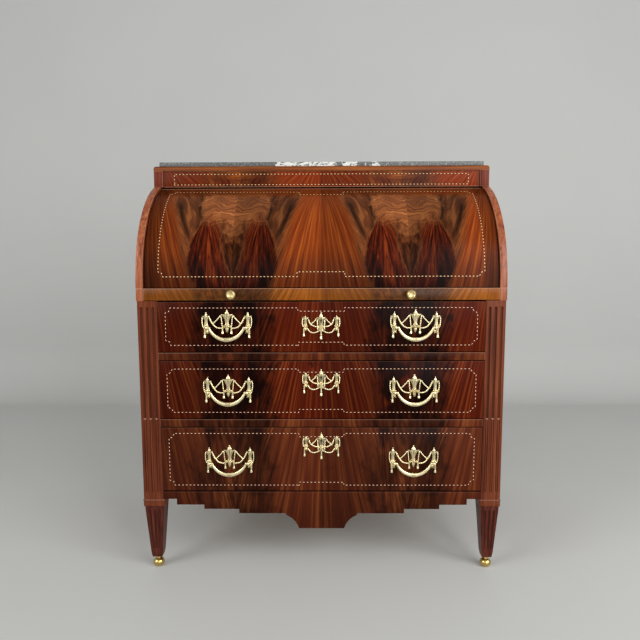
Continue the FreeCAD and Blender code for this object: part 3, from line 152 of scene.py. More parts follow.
def flame_mahogany(name, tones, low=0.0, stretch=1.0, apex=0.40, shade=1.0, edges=CURVED_EDGES, wander=0.06,
                   ends=1.0, crown=0.0, gloss_level=0.15, rays=42, core=0.0, blotch=0.0, outline=0.0):
    """Crotch mahogany cut in book-matched leaves and French polished.

    The eye gets fans of red streaks at the middle and ends, dark plumes on the leaf joints, rippled
    golden wood above and pointed flames below. The map "leaf" gives metres across and up, and each front
    starts at a whole metre of its own, so that no two have the same streaks.
    tones holds three colours, dark to light, for the fan, flame, wing, wedge and ripple. low and stretch say
    which part of a tall leaf's figure a front shows, apex how high the fan's rays start, wander how far the
    edges of the figure stray, rays how fine the fan is. shade and ends are how much of the light is left at
    the foot and at the two ends, as painted shade, crown how much fan lies along the top, darkened there as
    painted shade under the frieze. core is the strength of the black heart of the flames, blotch that of dark
    clouds round the leaf joint, outline that of the golden lines along the edges of the figure.
    """
    material, tree, shader = new_finish(name, IOR=1.5, Specular_IOR_Level=gloss_level)
    leaf = add(tree, "ShaderNodeSeparateXYZ", {0: add(tree, "ShaderNodeUVMap", uv_map="leaf")})
    across = leaf.outputs[0]
    # up is the height in the figure, without the metres that set a front apart, and tall keeps them
    rise = add(tree, "ShaderNodeMath", {0: leaf.outputs[1], 1: 0.9, 2: -0.1}, operation="WRAP")
    up = add(tree, "ShaderNodeMath", {0: rise, 1: stretch, 2: low}, operation="MULTIPLY_ADD")
    tall = add(tree, "ShaderNodeMath", {0: leaf.outputs[1], 1: stretch}, operation="MULTIPLY")
    # side is 1 and -1 by turns from leaf to leaf, joint the distance from the joint under the nearest plume
    turn = add(tree, "ShaderNodeMath", {0: across, 1: math.pi / LEAF}, operation="MULTIPLY")
    wave = add(tree, "ShaderNodeMath", {0: turn}, operation="SINE")
    side = add(tree, "ShaderNodeMath", {0: wave}, operation="SIGN")
    shifted = add(tree, "ShaderNodeMath", {0: across, 1: LEAF}, operation="SUBTRACT")
    joint = add(tree, "ShaderNodeMath", {0: shifted, 1: LEAF}, operation="PINGPONG")
    # places that patterns are laid on: level, in rays from the top of the leaf's outer edge, in rays from a
    # head 80 mm from the joint and 240 mm up, and along lines that close to a V at the foot
    from_edge = add(tree, "ShaderNodeMath", {0: LEAF, 1: joint}, operation="SUBTRACT")
    fall = add(tree, "ShaderNodeMath", {0: apex, 1: up}, operation="SUBTRACT")
    safe_fall = add(tree, "ShaderNodeMath", {0: fall, 1: 0.03}, operation="MAXIMUM")
    ray = add(tree, "ShaderNodeMath", {0: from_edge, 1: safe_fall}, operation="DIVIDE")
    from_head = add(tree, "ShaderNodeMath", {0: joint, 1: 0.08}, operation="SUBTRACT")
    below = add(tree, "ShaderNodeMath", {0: 0.24, 1: up}, operation="SUBTRACT")
    safe_below = add(tree, "ShaderNodeMath", {0: below, 1: 0.04}, operation="MAXIMUM")
    spread = add(tree, "ShaderNodeMath", {0: from_head, 1: safe_below}, operation="DIVIDE")
    close = add(tree, "ShaderNodeMath", {0: up, 1: -0.3, 2: joint}, operation="MULTIPLY_ADD")
    level_place, ray_place, head_place, close_place = (
        add(tree, "ShaderNodeCombineXYZ", {0: lead, 1: tall, 2: side})
        for lead in (joint, ray, spread, close))
    # each pattern: its place, its waves to the metre, and its detail, roughness and distortion
    patterns = {}
    for pattern, place, waves, detail, rough, warp in (
            # slow swell of the figure: waves about 90 mm long, almost alike in neighbouring leaves
            ("swell", level_place, (12, 11, 0.06), 3.0, 0.55, 0.0),
            # wisps of the feathered edges, about 12 mm wide and 55 mm long
            ("wisp", level_place, (80, 18, 0.05), 5.0, 0.65, 0.0),
            # dark clouds about 65 mm wide and 45 mm high
            ("cloud", level_place, (15, 22, 0.4), 3.0, 0.55, 0.0),
            # fan: streaks about 4 to 7 mm wide, widest at the foot
            ("streak", ray_place, (rays, 3.5, 0.04), 6.0, 0.62, 0.15),
            # flames: streaks about 6 mm wide
            ("tongue", head_place, (17, 9, 0.06), 5.0, 0.64, 0.6),
            # wedge: streaks about 13 mm wide
            ("vee", close_place, (75, 12, 0.05), 4.0, 0.6, 0.5),
            # wing: still, dark wood with shadows about 30 mm wide that lean like the edge of the fan
            ("wing", close_place, (34, 7, 0.05), 5.0, 0.62, 0.5)):
        scaled = add(tree, "ShaderNodeMapping", {0: place, 3: waves})
        patterns[pattern] = add(tree, "ShaderNodeTexNoise", {
            "Vector": scaled, "Scale": 1.0, "Detail": detail, "Roughness": rough, "Distortion": warp})
    heave, stray, ray_stray = (
        add(tree, "ShaderNodeMath", {0: patterns[pattern], 1: 0.5}, operation="SUBTRACT")
        for pattern in ("swell", "wisp", "streak"))
    # the edges swing out and in by 12 mm, once in every 220 mm of height, and cross over 135 mm up
    swing_turn = add(tree, "ShaderNodeMath", {0: up, 1: 2 * math.pi / 0.22, 2: -3.86},
                     operation="MULTIPLY_ADD")
    swing = add(tree, "ShaderNodeMath", {0: swing_turn}, operation="SINE")
    swung = add(tree, "ShaderNodeMath", {0: swing, 1: 0.012, 2: joint}, operation="MULTIPLY_ADD")
    swayed = add(tree, "ShaderNodeMath", {0: heave, 1: wander, 2: swung}, operation="MULTIPLY_ADD")
    feathered = add(tree, "ShaderNodeMath", {0: stray, 1: wander * 0.9, 2: swayed}, operation="MULTIPLY_ADD")
    rayed = add(tree, "ShaderNodeMath", {0: ray_stray, 1: wander * 1.2, 2: joint}, operation="MULTIPLY_ADD")
    masks, rims = [], []
    for (slope, start, least, most, soft), reached in zip(edges, (feathered, feathered, rayed)):
        edge = add(tree, "ShaderNodeMath", {0: up, 1: slope, 2: start}, operation="MULTIPLY_ADD")
        held = add(tree, "ShaderNodeClamp", {0: edge, 1: least, 2: most})
        past = add(tree, "ShaderNodeMath", {0: reached, 1: held}, operation="SUBTRACT")
        masks.append(add(tree, "ShaderNodeMapRange", {0: past, 1: -soft, 2: soft}, **SMOOTH))
        off = add(tree, "ShaderNodeMath", {0: past}, operation="ABSOLUTE")
        rims.append(add(tree, "ShaderNodeMapRange", {0: off, 1: 0.0, 2: 0.009, 3: outline, 4: 0.0}, **SMOOTH))
    over_wedge, over_flame, over_wing = masks
    rim = rims[0]
    for other in rims[1:]:
        rim = add(tree, "ShaderNodeMath", {0: rim, 1: other}, operation="MAXIMUM")
    # the flames come to a point under the head
    heaved = add(tree, "ShaderNodeMath", {0: heave, 1: 0.13, 2: up}, operation="MULTIPLY_ADD")
    lifted = add(tree, "ShaderNodeMath", {0: stray, 1: 0.06, 2: heaved}, operation="MULTIPLY_ADD")
    head_reach = add(tree, "ShaderNodeMath", {0: from_head}, operation="ABSOLUTE")
    pointed = add(tree, "ShaderNodeMath", {0: head_reach, 1: 0.65, 2: lifted}, operation="MULTIPLY_ADD")
    above = add(tree, "ShaderNodeMapRange", {0: pointed, 1: 0.165, 2: 0.250}, **SMOOTH)
    # the heart of the flames: black, 100 mm from the joint, a point 150 mm up that spreads to 60 mm at
    # the foot
    heart_width = add(tree, "ShaderNodeMath", {0: up, 1: -0.2, 2: 0.03}, operation="MULTIPLY_ADD")
    from_heart = add(tree, "ShaderNodeMath", {0: feathered, 1: 0.1}, operation="SUBTRACT")
    heart_reach = add(tree, "ShaderNodeMath", {0: from_heart}, operation="ABSOLUTE")
    past_heart = add(tree, "ShaderNodeMath", {0: heart_reach, 1: heart_width}, operation="SUBTRACT")
    heart = add(tree, "ShaderNodeMapRange",
                {0: past_heart, 1: -0.012, 2: 0.012, 3: 1 - core, 4: 1.0}, **SMOOTH)
    # the dark clouds gather within about 120 mm of the joint
    near = add(tree, "ShaderNodeMapRange", {0: joint, 1: 0.09, 2: 0.15, 3: 0.12, 4: -0.12})
    gathered = add(tree, "ShaderNodeMath", {0: patterns["cloud"], 1: near}, operation="ADD")
    cleared = add(tree, "ShaderNodeMapRange", {0: gathered, 1: 0.5, 2: 0.68, 3: 1.0, 4: 1 - blotch}, **SMOOTH)
    # ripple: level bands about 9 mm apart, bent by the swell and broken up along their length
    bent = add(tree, "ShaderNodeMath", {0: heave, 1: 0.13, 2: tall}, operation="MULTIPLY_ADD")
    band_place = add(tree, "ShaderNodeCombineXYZ", {0: joint, 1: bent, 2: side})
    band_map = add(tree, "ShaderNodeMapping", {0: band_place, 3: (7, 110, 0.05)})
    band = add(tree, "ShaderNodeTexNoise",
               {"Vector": band_map, "Scale": 1.0, "Detail": 3.0, "Roughness": 0.6, "Distortion": 0.3})
    zones = {}
    for zone, driver, spots in (("fan", patterns["streak"], (0.30, 0.50, 0.70)),
                                ("flame", patterns["tongue"], (0.40, 0.54, 0.70)),
                                ("wing", patterns["wing"], (0.38, 0.52, 0.68)),
                                ("wedge", patterns["vee"], (0.34, 0.52, 0.72)),
                                ("ripple", band, (0.32, 0.50, 0.68))):
        stops = list(zip(spots, tones[zone]))
        zones[zone] = add(tree, "ShaderNodeValToRGB", {0: driver}, stops=stops)
    flame = add(tree, "ShaderNodeHueSaturation", {"Color": zones["flame"], "Value": heart})
    lower = add(tree, "ShaderNodeMix", {0: over_wedge, 6: zones["wedge"], 7: flame}, data_type="RGBA")
    plume = add(tree, "ShaderNodeMix", {0: above, 6: lower, 7: zones["ripple"]}, data_type="RGBA")
    in_wing = add(tree, "ShaderNodeMix", {0: over_flame, 6: plume, 7: zones["wing"]}, data_type="RGBA")
    winged = add(tree, "ShaderNodeMix", {0: rim, 6: in_wing, 7: tones["ripple"][2]}, data_type="RGBA")
    # the foot and the two ends of the figure lie a little in the dark
    foot_shade = add(tree, "ShaderNodeMapRange", {0: up, 1: 0.0, 2: 0.13, 3: shade, 4: 1.0}, **SMOOTH)
    from_middle = add(tree, "ShaderNodeMath", {0: across}, operation="ABSOLUTE")
    end_shade = add(tree, "ShaderNodeMapRange",
                    {0: from_middle, 1: 0.445, 2: 0.475, 3: 1.0, 4: ends}, **SMOOTH)
    shaded = add(tree, "ShaderNodeMath", {0: foot_shade, 1: end_shade}, operation="MULTIPLY")
    level = add(tree, "ShaderNodeMath", {0: shaded, 1: cleared}, operation="MULTIPLY")
    # neighbouring leaves lie with their fibres tipped opposite ways, so one takes the light and one does not
    plume_tip = add(tree, "ShaderNodeMath", {0: side, 1: 0.19, 2: 1.0}, operation="MULTIPLY_ADD")
    fan_tip = add(tree, "ShaderNodeMath", {0: side, 1: -0.19, 2: 1.0}, operation="MULTIPLY_ADD")
    plume_light = add(tree, "ShaderNodeMath", {0: plume_tip, 1: level}, operation="MULTIPLY")
    fan_light = add(tree, "ShaderNodeMath", {0: fan_tip, 1: level}, operation="MULTIPLY")
    lit_plume = add(tree, "ShaderNodeHueSaturation", {"Color": winged, "Value": plume_light})
    lit_fan = add(tree, "ShaderNodeHueSaturation", {"Color": zones["fan"], "Value": fan_light})
    figure = add(tree, "ShaderNodeMix", {0: over_wing, 6: lit_plume, 7: lit_fan}, data_type="RGBA")
    # along the top the fan comes back at 0.6 of its light, painted shade under the frieze
    top_band = add(tree, "ShaderNodeMapRange", {0: up, 1: 0.295, 2: 0.335, 3: 0.0, 4: crown}, **SMOOTH)
    shaded_crown = add(tree, "ShaderNodeHueSaturation", {"Color": lit_fan, "Value": 0.6})
    whole = add(tree, "ShaderNodeMix", {0: top_band, 6: figure, 7: shaded_crown}, data_type="RGBA")
    # painted highlight along the edges that the shape marks, mixed in up to 0.6
    painted_highlight = add(tree, "ShaderNodeAttribute", attribute_name="painted_highlight")
    highlight_amount = add(tree, "ShaderNodeMath", {0: painted_highlight.outputs["Fac"], 1: 0.6}, operation="MULTIPLY")
    highlighted = add(tree, "ShaderNodeMix", {0: highlight_amount, 6: whole, 7: EDGE_HIGHLIGHT}, data_type="RGBA")
    gloss = add(tree, "ShaderNodeMapRange", {0: patterns["wisp"], 1: 0.3, 2: 0.7, 3: 0.24, 4: 0.34})
    skin = add(tree, "ShaderNodeBump", {"Height": patterns["streak"], "Strength": 0.03, "Distance": 0.001})
    feed(tree, shader, {"Base Color": highlighted, "Roughness": gloss, "Normal": skin})
    return material


WOOD_SPOTS = (0.3, 0.5, 0.72)     # where the dark, middle and light tone of a straight wood lie on its ramp


def straight_wood(name, tones, grain="z", roughness=0.32, width=3.0, gloss_level=0.12, cut=0.0):
    """Straight-grained wood, planed and finished.

    The eye gets fine streaks along the grain, short dark pores, and wax and painted shade in the hollows.
    tones are its dark, middle and light colour. width is the breadth of a streak in millimetres, and a streak
    is about forty times as long. cut says from where in the log, in metres, the wood comes.
    """
    material, tree, shader = new_finish(name, IOR=1.5, Specular_IOR_Level=gloss_level)
    where = add(tree, "ShaderNodeTexCoord").outputs["Object"]
    across = 1 / (width * MM)
    scale = [across] * 3
    scale["xyz".index(grain)] = across / 40
    streak_map = add(tree, "ShaderNodeMapping", {0: where, 1: (cut, cut, cut), 3: scale})
    streak = add(tree, "ShaderNodeTexNoise",
                 {"Vector": streak_map, "Scale": 0.5, "Detail": 5.0, "Roughness": 0.6, "Distortion": 0.4})
    # pores are 0.3 mm wide in the wood and drawn 0.8 mm wide and 9 mm long, so that they show
    pore_scale = [1250.0] * 3
    pore_scale["xyz".index(grain)] = 110.0
    pore_map = add(tree, "ShaderNodeMapping", {0: where, 3: pore_scale})
    pore = add(tree, "ShaderNodeTexNoise", {"Vector": pore_map, "Scale": 1.0, "Detail": 2.0})
    pore_mask = add(tree, "ShaderNodeMapRange", {0: pore, 1: 0.62, 2: 0.72})
    # broad bands of lighter and darker wood, about eight streaks wide
    broad_map = add(tree, "ShaderNodeMapping", {0: streak_map, 3: (0.12, 0.12, 0.12)})
    broad = add(tree, "ShaderNodeTexNoise", {"Vector": broad_map, "Scale": 1.0, "Detail": 2.0})
    mixed = add(tree, "ShaderNodeMath", {0: broad, 1: 0.36, 2: -0.18}, operation="MULTIPLY_ADD")
    value = add(tree, "ShaderNodeMath", {0: streak, 1: mixed}, operation="ADD")
    colour = add(tree, "ShaderNodeValToRGB", {0: value}, stops=list(zip(WOOD_SPOTS, tones)))
    pored = add(tree, "ShaderNodeMix", {0: pore_mask, 6: colour, 7: tones[0]}, data_type="RGBA")
    # the hollows darken to 0.75, wax and painted shade together
    hollow = add(tree, "ShaderNodeAttribute", attribute_name="hollow")
    waxed_and_shaded = add(tree, "ShaderNodeMapRange", {0: hollow.outputs["Fac"], 3: 1.0, 4: 0.75})
    sunk = add(tree, "ShaderNodeHueSaturation", {"Color": pored, "Value": waxed_and_shaded})
    # painted highlight along the edges that the shape marks, mixed in up to 0.5
    painted_highlight = add(tree, "ShaderNodeAttribute", attribute_name="painted_highlight")
    highlight_amount = add(tree, "ShaderNodeMath", {0: painted_highlight.outputs["Fac"], 1: 0.5}, operation="MULTIPLY")
    highlighted = add(tree, "ShaderNodeMix", {0: highlight_amount, 6: sunk, 7: EDGE_HIGHLIGHT}, data_type="RGBA")
    gloss = add(tree, "ShaderNodeMapRange",
                {0: broad, 1: 0.3, 2: 0.7, 3: roughness - 0.05, 4: roughness + 0.07})
    skin = add(tree, "ShaderNodeBump", {"Height": pore_mask, "Strength": -0.15, "Distance": 0.0002})
    feed(tree, shader, {"Base Color": highlighted, "Roughness": gloss, "Normal": skin})
    return material


def gilt_brass(name, bright, deep, roughness):
    """Cast brass, chased and lacquered: pale gold on what stands out, brown wax and painted shade in the
    hollows.
    """
    material, tree, shader = new_finish(name, Metallic=1.0)
    where = add(tree, "ShaderNodeTexCoord").outputs["Object"]
    hollow = add(tree, "ShaderNodeAttribute", attribute_name="hollow").outputs["Fac"]
    # the wax and painted shade end in clouds about 6 mm across
    cloud = add(tree, "ShaderNodeTexNoise", {"Vector": where, "Scale": 160.0, "Detail": 3.0})
    depth = add(tree, "ShaderNodeMath", {0: cloud, 1: 0.5, 2: hollow}, operation="MULTIPLY_ADD")
    mask = add(tree, "ShaderNodeMapRange", {0: depth, 1: 0.42, 2: 1.30})
    colour = add(tree, "ShaderNodeMix", {0: mask, 6: bright, 7: deep}, data_type="RGBA")
    gloss = add(tree, "ShaderNodeMapRange", {0: mask, 1: 0.0, 2: 1.0, 3: roughness, 4: roughness + 0.25})
    # casting skin: pits about 1 mm across
    pits = add(tree, "ShaderNodeTexNoise", {"Vector": where, "Scale": 900.0, "Detail": 2.0})
    skin = add(tree, "ShaderNodeBump", {"Height": pits, "Strength": 0.12, "Distance": 0.0003})
    feed(tree, shader, {"Base Color": colour, "Roughness": gloss, "Normal": skin})
    return material


def veined_marble():
    """Grey marble, sawn and honed.

    The eye gets a mottled grey, thin white veins to the right, and one patch of white and black.
    """
    material, tree, shader = new_finish("grey_marble_honed", IOR=1.5, Specular_IOR_Level=0.3)
    where = add(tree, "ShaderNodeTexCoord").outputs["Object"]
    # mottle: flecks about 5 mm across
    mottle = add(tree, "ShaderNodeTexNoise",
                 {"Vector": where, "Scale": 200.0, "Detail": 6.0, "Roughness": 0.75})
    grey = add(tree, "ShaderNodeValToRGB", {0: mottle},
               stops=((0.32, "#2c2e30"), (0.5, "#565857"), (0.68, "#9a9b97")))
    # veins about 70 mm apart, leaning over to the right, with bends as long
    tipped = add(tree, "ShaderNodeMapping", {0: where, 2: (0, 0.5, 0.6), 3: (14, 6, 14)})
    bends = add(tree, "ShaderNodeTexNoise",
                {"Vector": where, "Scale": 14.0, "Detail": 5.0, "Roughness": 0.65})
    moved = add(tree, "ShaderNodeMix", {0: 0.16, 4: tipped, 5: bends.outputs["Color"]}, data_type="VECTOR")
    cells = add(tree, "ShaderNodeTexVoronoi", {"Vector": moved, "Scale": 1.0}, feature="DISTANCE_TO_EDGE")
    crack = add(tree, "ShaderNodeMapRange", {0: cells, 1: 0.004, 2: 0.018, 3: 0.85, 4: 0.0})
    split = add(tree, "ShaderNodeSeparateXYZ", {0: where})
    right = add(tree, "ShaderNodeMapRange", {0: split.outputs[0], 1: 0.1, 2: 0.26, 3: 0.06, 4: 0.4})
    whole_vein = add(tree, "ShaderNodeMath", {0: crack, 1: right}, operation="MULTIPLY")
    broken = add(tree, "ShaderNodeMapRange", {0: bends, 1: 0.44, 2: 0.58})
    vein = add(tree, "ShaderNodeMath", {0: whole_vein, 1: broken}, operation="MULTIPLY")
    veined = add(tree, "ShaderNodeMix", {0: vein, 6: grey, 7: "#c2c3bf"}, data_type="RGBA")
    # the white patch lies, at the front, from about 60 mm left of the middle to 260 mm right of it
    slant = add(tree, "ShaderNodeMath", {0: split.outputs[1], 1: 0.5, 2: 0.04}, operation="MULTIPLY_ADD")
    centred = add(tree, "ShaderNodeMath", {0: split.outputs[0], 1: slant}, operation="ADD")
    frayed = add(tree, "ShaderNodeMath", {0: bends, 1: 0.5, 2: -0.25}, operation="MULTIPLY_ADD")
    strayed = add(tree, "ShaderNodeMath", {0: centred, 1: frayed}, operation="ADD")
    reach = add(tree, "ShaderNodeMath", {0: strayed}, operation="ABSOLUTE")
    patch = add(tree, "ShaderNodeMapRange", {0: reach, 1: 0.09, 2: 0.24, 3: 0.2, 4: -0.25})
    # it breaks up into blotches about 17 mm across
    blotch = add(tree, "ShaderNodeTexNoise",
                 {"Vector": where, "Scale": 60.0, "Detail": 5.0, "Roughness": 0.7})
    raised = add(tree, "ShaderNodeMath", {0: blotch, 1: patch}, operation="ADD")
    white = add(tree, "ShaderNodeMapRange", {0: raised, 1: 0.54, 2: 0.60})
    # black flecks in it, about 11 mm long and 5 mm high
    fleck_map = add(tree, "ShaderNodeMapping", {0: where, 2: (0, 0.6, 0), 3: (90, 90, 210)})
    fleck = add(tree, "ShaderNodeTexNoise",
                {"Vector": fleck_map, "Scale": 1.0, "Detail": 4.0, "Roughness": 0.7})
    black = add(tree, "ShaderNodeMapRange", {0: fleck, 1: 0.53, 2: 0.58})
    mixed = add(tree, "ShaderNodeMix", {0: black, 6: "#d2d3ce", 7: "#383938"}, data_type="RGBA")
    colour = add(tree, "ShaderNodeMix", {0: white, 6: veined, 7: mixed}, data_type="RGBA")
    gloss = add(tree, "ShaderNodeMapRange", {0: mottle, 1: 0.3, 2: 0.7, 3: 0.24, 4: 0.38})
    feed(tree, shader, {"Base Color": colour, "Roughness": gloss})
    return material


def tooled_leather():
    """Green calf, glazed: pebbled grain about 1.5 mm, darker where hands rub, in patches of about 110 mm."""
    material, tree, shader = new_finish("green_calf_glazed", IOR=1.5)
    where = add(tree, "ShaderNodeTexCoord").outputs["Object"]
    grain = add(tree, "ShaderNodeTexVoronoi", {"Vector": where, "Scale": 650.0}, feature="SMOOTH_F1")
    wear_and_highlight = add(tree, "ShaderNodeTexNoise", {"Vector": where, "Scale": 9.0, "Detail": 4.0})
    colour = add(tree, "ShaderNodeValToRGB", {0: wear_and_highlight},
                 stops=((0.3, "#1d3426"), (0.5, "#23402d"), (0.7, "#2b4c36")))
    gloss = add(tree, "ShaderNodeMapRange", {0: wear_and_highlight, 1: 0.3, 2: 0.7, 3: 0.38, 4: 0.55})
    skin = add(tree, "ShaderNodeBump", {"Height": grain, "Strength": 0.35, "Distance": 0.0004})
    feed(tree, shader, {"Base Color": colour, "Roughness": gloss, "Normal": skin})
    return material


def dark_iron():
    """Wrought iron, filed and blackened: grey-black with faint rubbed patches about 17 mm across."""
    material, tree, shader = new_finish("wrought_iron_blackened", Metallic=1.0)
    where = add(tree, "ShaderNodeTexCoord").outputs["Object"]
    wear_and_highlight = add(tree, "ShaderNodeTexNoise", {"Vector": where, "Scale": 60.0, "Detail": 5.0})
    colour = add(tree, "ShaderNodeValToRGB", {0: wear_and_highlight},
                 stops=((0.35, "#2b2927"), (0.55, "#4a4845"), (0.7, "#77736d")))
    gloss = add(tree, "ShaderNodeMapRange", {0: wear_and_highlight, 1: 0.3, 2: 0.7, 3: 0.55, 4: 0.4})
    feed(tree, shader, {"Base Color": colour, "Roughness": gloss})
    return material


def inlay_wood(name, pale, deep):
    """Small squares of inlay, scraped level and polished over: even colour with grain about 2.4 mm wide."""
    material, tree, shader = new_finish(name, IOR=1.5, Specular_IOR_Level=0.2)
    where = add(tree, "ShaderNodeTexCoord").outputs["Object"]
    grain = add(tree, "ShaderNodeTexNoise", {"Vector": where, "Scale": 420.0, "Detail": 3.0})
    colour = add(tree, "ShaderNodeMix", {0: grain, 6: pale, 7: deep}, data_type="RGBA")
    gloss = add(tree, "ShaderNodeMapRange", {0: grain, 1: 0.3, 2: 0.7, 3: 0.3, 4: 0.42})
    feed(tree, shader, {"Base Color": colour, "Roughness": gloss})
    return material


CYLINDER_TONES = {
    "fan": ("#481609", "#72300f", "#a0511d"), "flame": ("#1c0703", "#4c1607", "#8c3c14"),
    "wing": ("#26140a", "#522b16", "#86502a"), "wedge": ("#1a0a04", "#301307", "#5c2f10"),
    "ripple": ("#502b18", "#754224", "#9e6034"),
}
DRAWER_TONES = {
    "fan": ("#300b03", "#441104", "#6c3010"), "flame": ("#180502", "#380d04", "#602a0e"),
    "wing": ("#120402", "#2a0b03", "#4c200b"), "wedge": ("#1e0703", "#3e1004", "#642c0e"),
    "ripple": ("#220803", "#421204", "#6a3210"),
}
BROWN_TONES = {
    "fan": ("#36140a", "#4a1e0e", "#6c391b"), "flame": ("#1e0b06", "#3e190c", "#623016"),
    "wing": ("#1c0a06", "#3a180c", "#5c2d15"), "wedge": ("#260e07", "#47200f", "#6e3c1b"),
    "ripple": ("#2a1008", "#4b2110", "#744020"),
}
FRIEZE_TONES = {
    "fan": ("#441506", "#6c260a", "#924213"), "flame": ("#240a04", "#581f09", "#863a12"),
    "wing": ("#2e1408", "#58290f", "#7e4218"), "wedge": ("#200c05", "#4e220d", "#783d16"),
    "ripple": ("#441d0b", "#6c3411", "#94511d"),
}
SLIDE_TONES = {
    "fan": ("#582b06", "#783f09", "#945510"), "flame": ("#2f1405", "#5e2e0a", "#804611"),
    "wing": ("#2d1707", "#5b330c", "#7e4e14"), "wedge": ("#2e1807", "#56310c", "#774812"),
    "ripple": ("#482908", "#6a3f0c", "#865614"),
}
DRAWER_FIGURE = {"low": 0.03, "stretch": 0.55, "edges": FLAT_EDGES, "wander": 0.10}
BROWN_FIGURE = {**DRAWER_FIGURE, "apex": 0.34, "gloss_level": 0.05, "rays": 24, "blotch": 0.45}
CYLINDER_VENEER = flame_mahogany("flame_mahogany_curved_panel", CYLINDER_TONES, shade=0.44, ends=0.5,
                                 crown=0.85, gloss_level=0.05, core=0.55, outline=0.14)
DRAWER_VENEER = flame_mahogany("flame_mahogany_drawer_fronts", DRAWER_TONES, apex=0.30, gloss_level=0.04,
                               rays=28, blotch=0.8, **DRAWER_FIGURE)
BROWN_VENEER = flame_mahogany("flame_mahogany_lower_front", BROWN_TONES, **BROWN_FIGURE)
APRON_VENEER = flame_mahogany("flame_mahogany_apron", BROWN_TONES, shade=0.72, **BROWN_FIGURE)
FRIEZE_VENEER = flame_mahogany("flame_mahogany_frieze", FRIEZE_TONES, low=0.10, stretch=2.4, apex=0.36,
                               edges=FLAT_EDGES, wander=0.1, gloss_level=0.06)
SLIDE_VENEER = flame_mahogany("golden_mahogany_slide_front", SLIDE_TONES, low=0.05, stretch=2.0, apex=0.45,
                              edges=FLAT_EDGES, wander=0.16, blotch=0.35)
POST_WOOD = straight_wood("mahogany_upright_polished", ("#461d10", "#632f1b", "#7c4124"))
BLOCK_WOOD = straight_wood("mahogany_blocks_polished", ("#451a0e", "#672b1b", "#7e3c25"))
LEG_WOOD = straight_wood("mahogany_legs_waxed", ("#30130d", "#4c2118", "#643424"))
SIDE_WOOD = straight_wood("mahogany_sides_polished", ("#4c1d10", "#6e341b", "#8a4a25"),
                          roughness=0.28, width=5.0, gloss_level=0.35, cut=3.7)
EDGE_WOOD = straight_wood("mahogany_curved_edges_polished", ("#64291a", "#8c4a2c", "#b06a40"),
                          roughness=0.28, gloss_level=0.35)
CROSS_WOOD = straight_wood("mahogany_lengthwise_polished", ("#4c200e", "#743b18", "#935324"), grain="x")
OAK = straight_wood("oak_planed_oiled", ("#6d4c2b", "#9a7347", "#b8915f"),
                    grain="y", roughness=0.55, width=4.0)
OAK_ACROSS = straight_wood("oak_boards_across", ("#6b4a2a", "#977043", "#b48c5a"),
                           grain="x", roughness=0.55, width=4.0)
BACK_RAIL = straight_wood("oak_back_rails_stained", ("#402a18", "#614329", "#7c5a39"),
                          grain="x", roughness=0.6, width=5.0)
BACK_OAK = straight_wood("oak_back_stained", ("#3c2717", "#5d4027", "#7a5838"), roughness=0.6, width=5.0)
KNOB_BRASS = gilt_brass("brass_turned_satin", "#e6ce94", "#5a3d10", 0.36)
BRASS = gilt_brass("gilt_brass_cast", "#fff0c0", "#57410f", 0.30)
FOOT_BRASS = gilt_brass("brass_turned_polished", "#cbae6c", "#5a3d10", 0.26)
MARBLE = veined_marble()
LEATHER = tooled_leather()
IRON = dark_iron()
HOLLY = inlay_wood("holly_inlay_polished", "#f4cd9c", "#deac76")
PINK_HOLLY = inlay_wood("holly_inlay_toned", "#ffd2b2", "#f0ba98")
EBONY = inlay_wood("blackened_wood_inlay", "#261009", "#34170d")


# Shaping

NEAR = 0.01          # millimetres within which a point counts as on a level
HARD_ANGLE = 0.6     # radians between two faces from which their edge counts as hard


def ride(mesh, name, materials, body, replaced):
    """Make an object of a mesh, set it on its body and hide the solids it stands for."""
    for material in materials:
        mesh.materials.append(material)
    piece = bpy.data.objects.new(name, mesh)
    bpy.context.scene.collection.objects.link(piece)
    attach(piece, body)
    if replaced:
        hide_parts(*replaced)


def finish(bm, name, materials, body, replaced=(), sharp=32, leaf=None):
    """Bring a shape to metres, turn its faces outward, shade it and set it on its body."""
    bmesh.ops.recalc_face_normals(bm, faces=bm.faces)
    if leaf:
        layer = bm.loops.layers.uv.new("leaf")
        for face in bm.faces:
            for corner in face.loops:
                u, v = leaf(corner.vert.co)
                corner[layer].uv = (u * MM, v * MM)
    bmesh.ops.scale(bm, vec=(MM, MM, MM), verts=bm.verts)
    mesh = bpy.data.meshes.new(name)
    bm.to_mesh(mesh)
    bm.free()
    mesh.polygons.foreach_set("use_smooth", [True] * len(mesh.polygons))
    mesh.set_sharp_from_angle(angle=math.radians(sharp))
    ride(mesh, name, materials, body, replaced)


def new_casting():
    """An empty shape whose points can say how deep in a hollow they lie, which the finishes darken as wax and
    painted shade.
    """
    bm = bmesh.new()
    bm.verts.layers.float.new("hollow")
    return bm


def paint_highlight(bm, faces, amount):
    """Paint a highlight on faces, from 0 to 1."""
    layer = bm.loops.layers.float["painted_highlight"]
    for face in faces:
        for corner in face.loops:
            corner[layer] = amount


def round_edges(bm, width, segments=2, only=None, wear_and_highlight=1.0, lowest=-0.3):
    """Round over the hard edges, and paint a highlight on those that look no lower than lowest."""
    if not bm.loops.layers.float.get("painted_highlight"):
        bm.loops.layers.float.new("painted_highlight")
    bmesh.ops.recalc_face_normals(bm, faces=bm.faces)
    hard = [edge for edge in bm.edges if edge.is_manifold and edge.calc_face_angle() > HARD_ANGLE]
    if only:
        hard = [edge for edge in hard if only(edge)]
    rounded = bmesh.ops.bevel(bm, geom=hard, offset=width, segments=segments, profile=0.5, affect="EDGES",
                              clamp_overlap=True)["faces"]
    bm.normal_update()
    # the rounded edges that look no lower than lowest get a painted highlight
    paint_highlight(bm, [face for face in rounded if face.normal.z > lowest], wear_and_highlight)


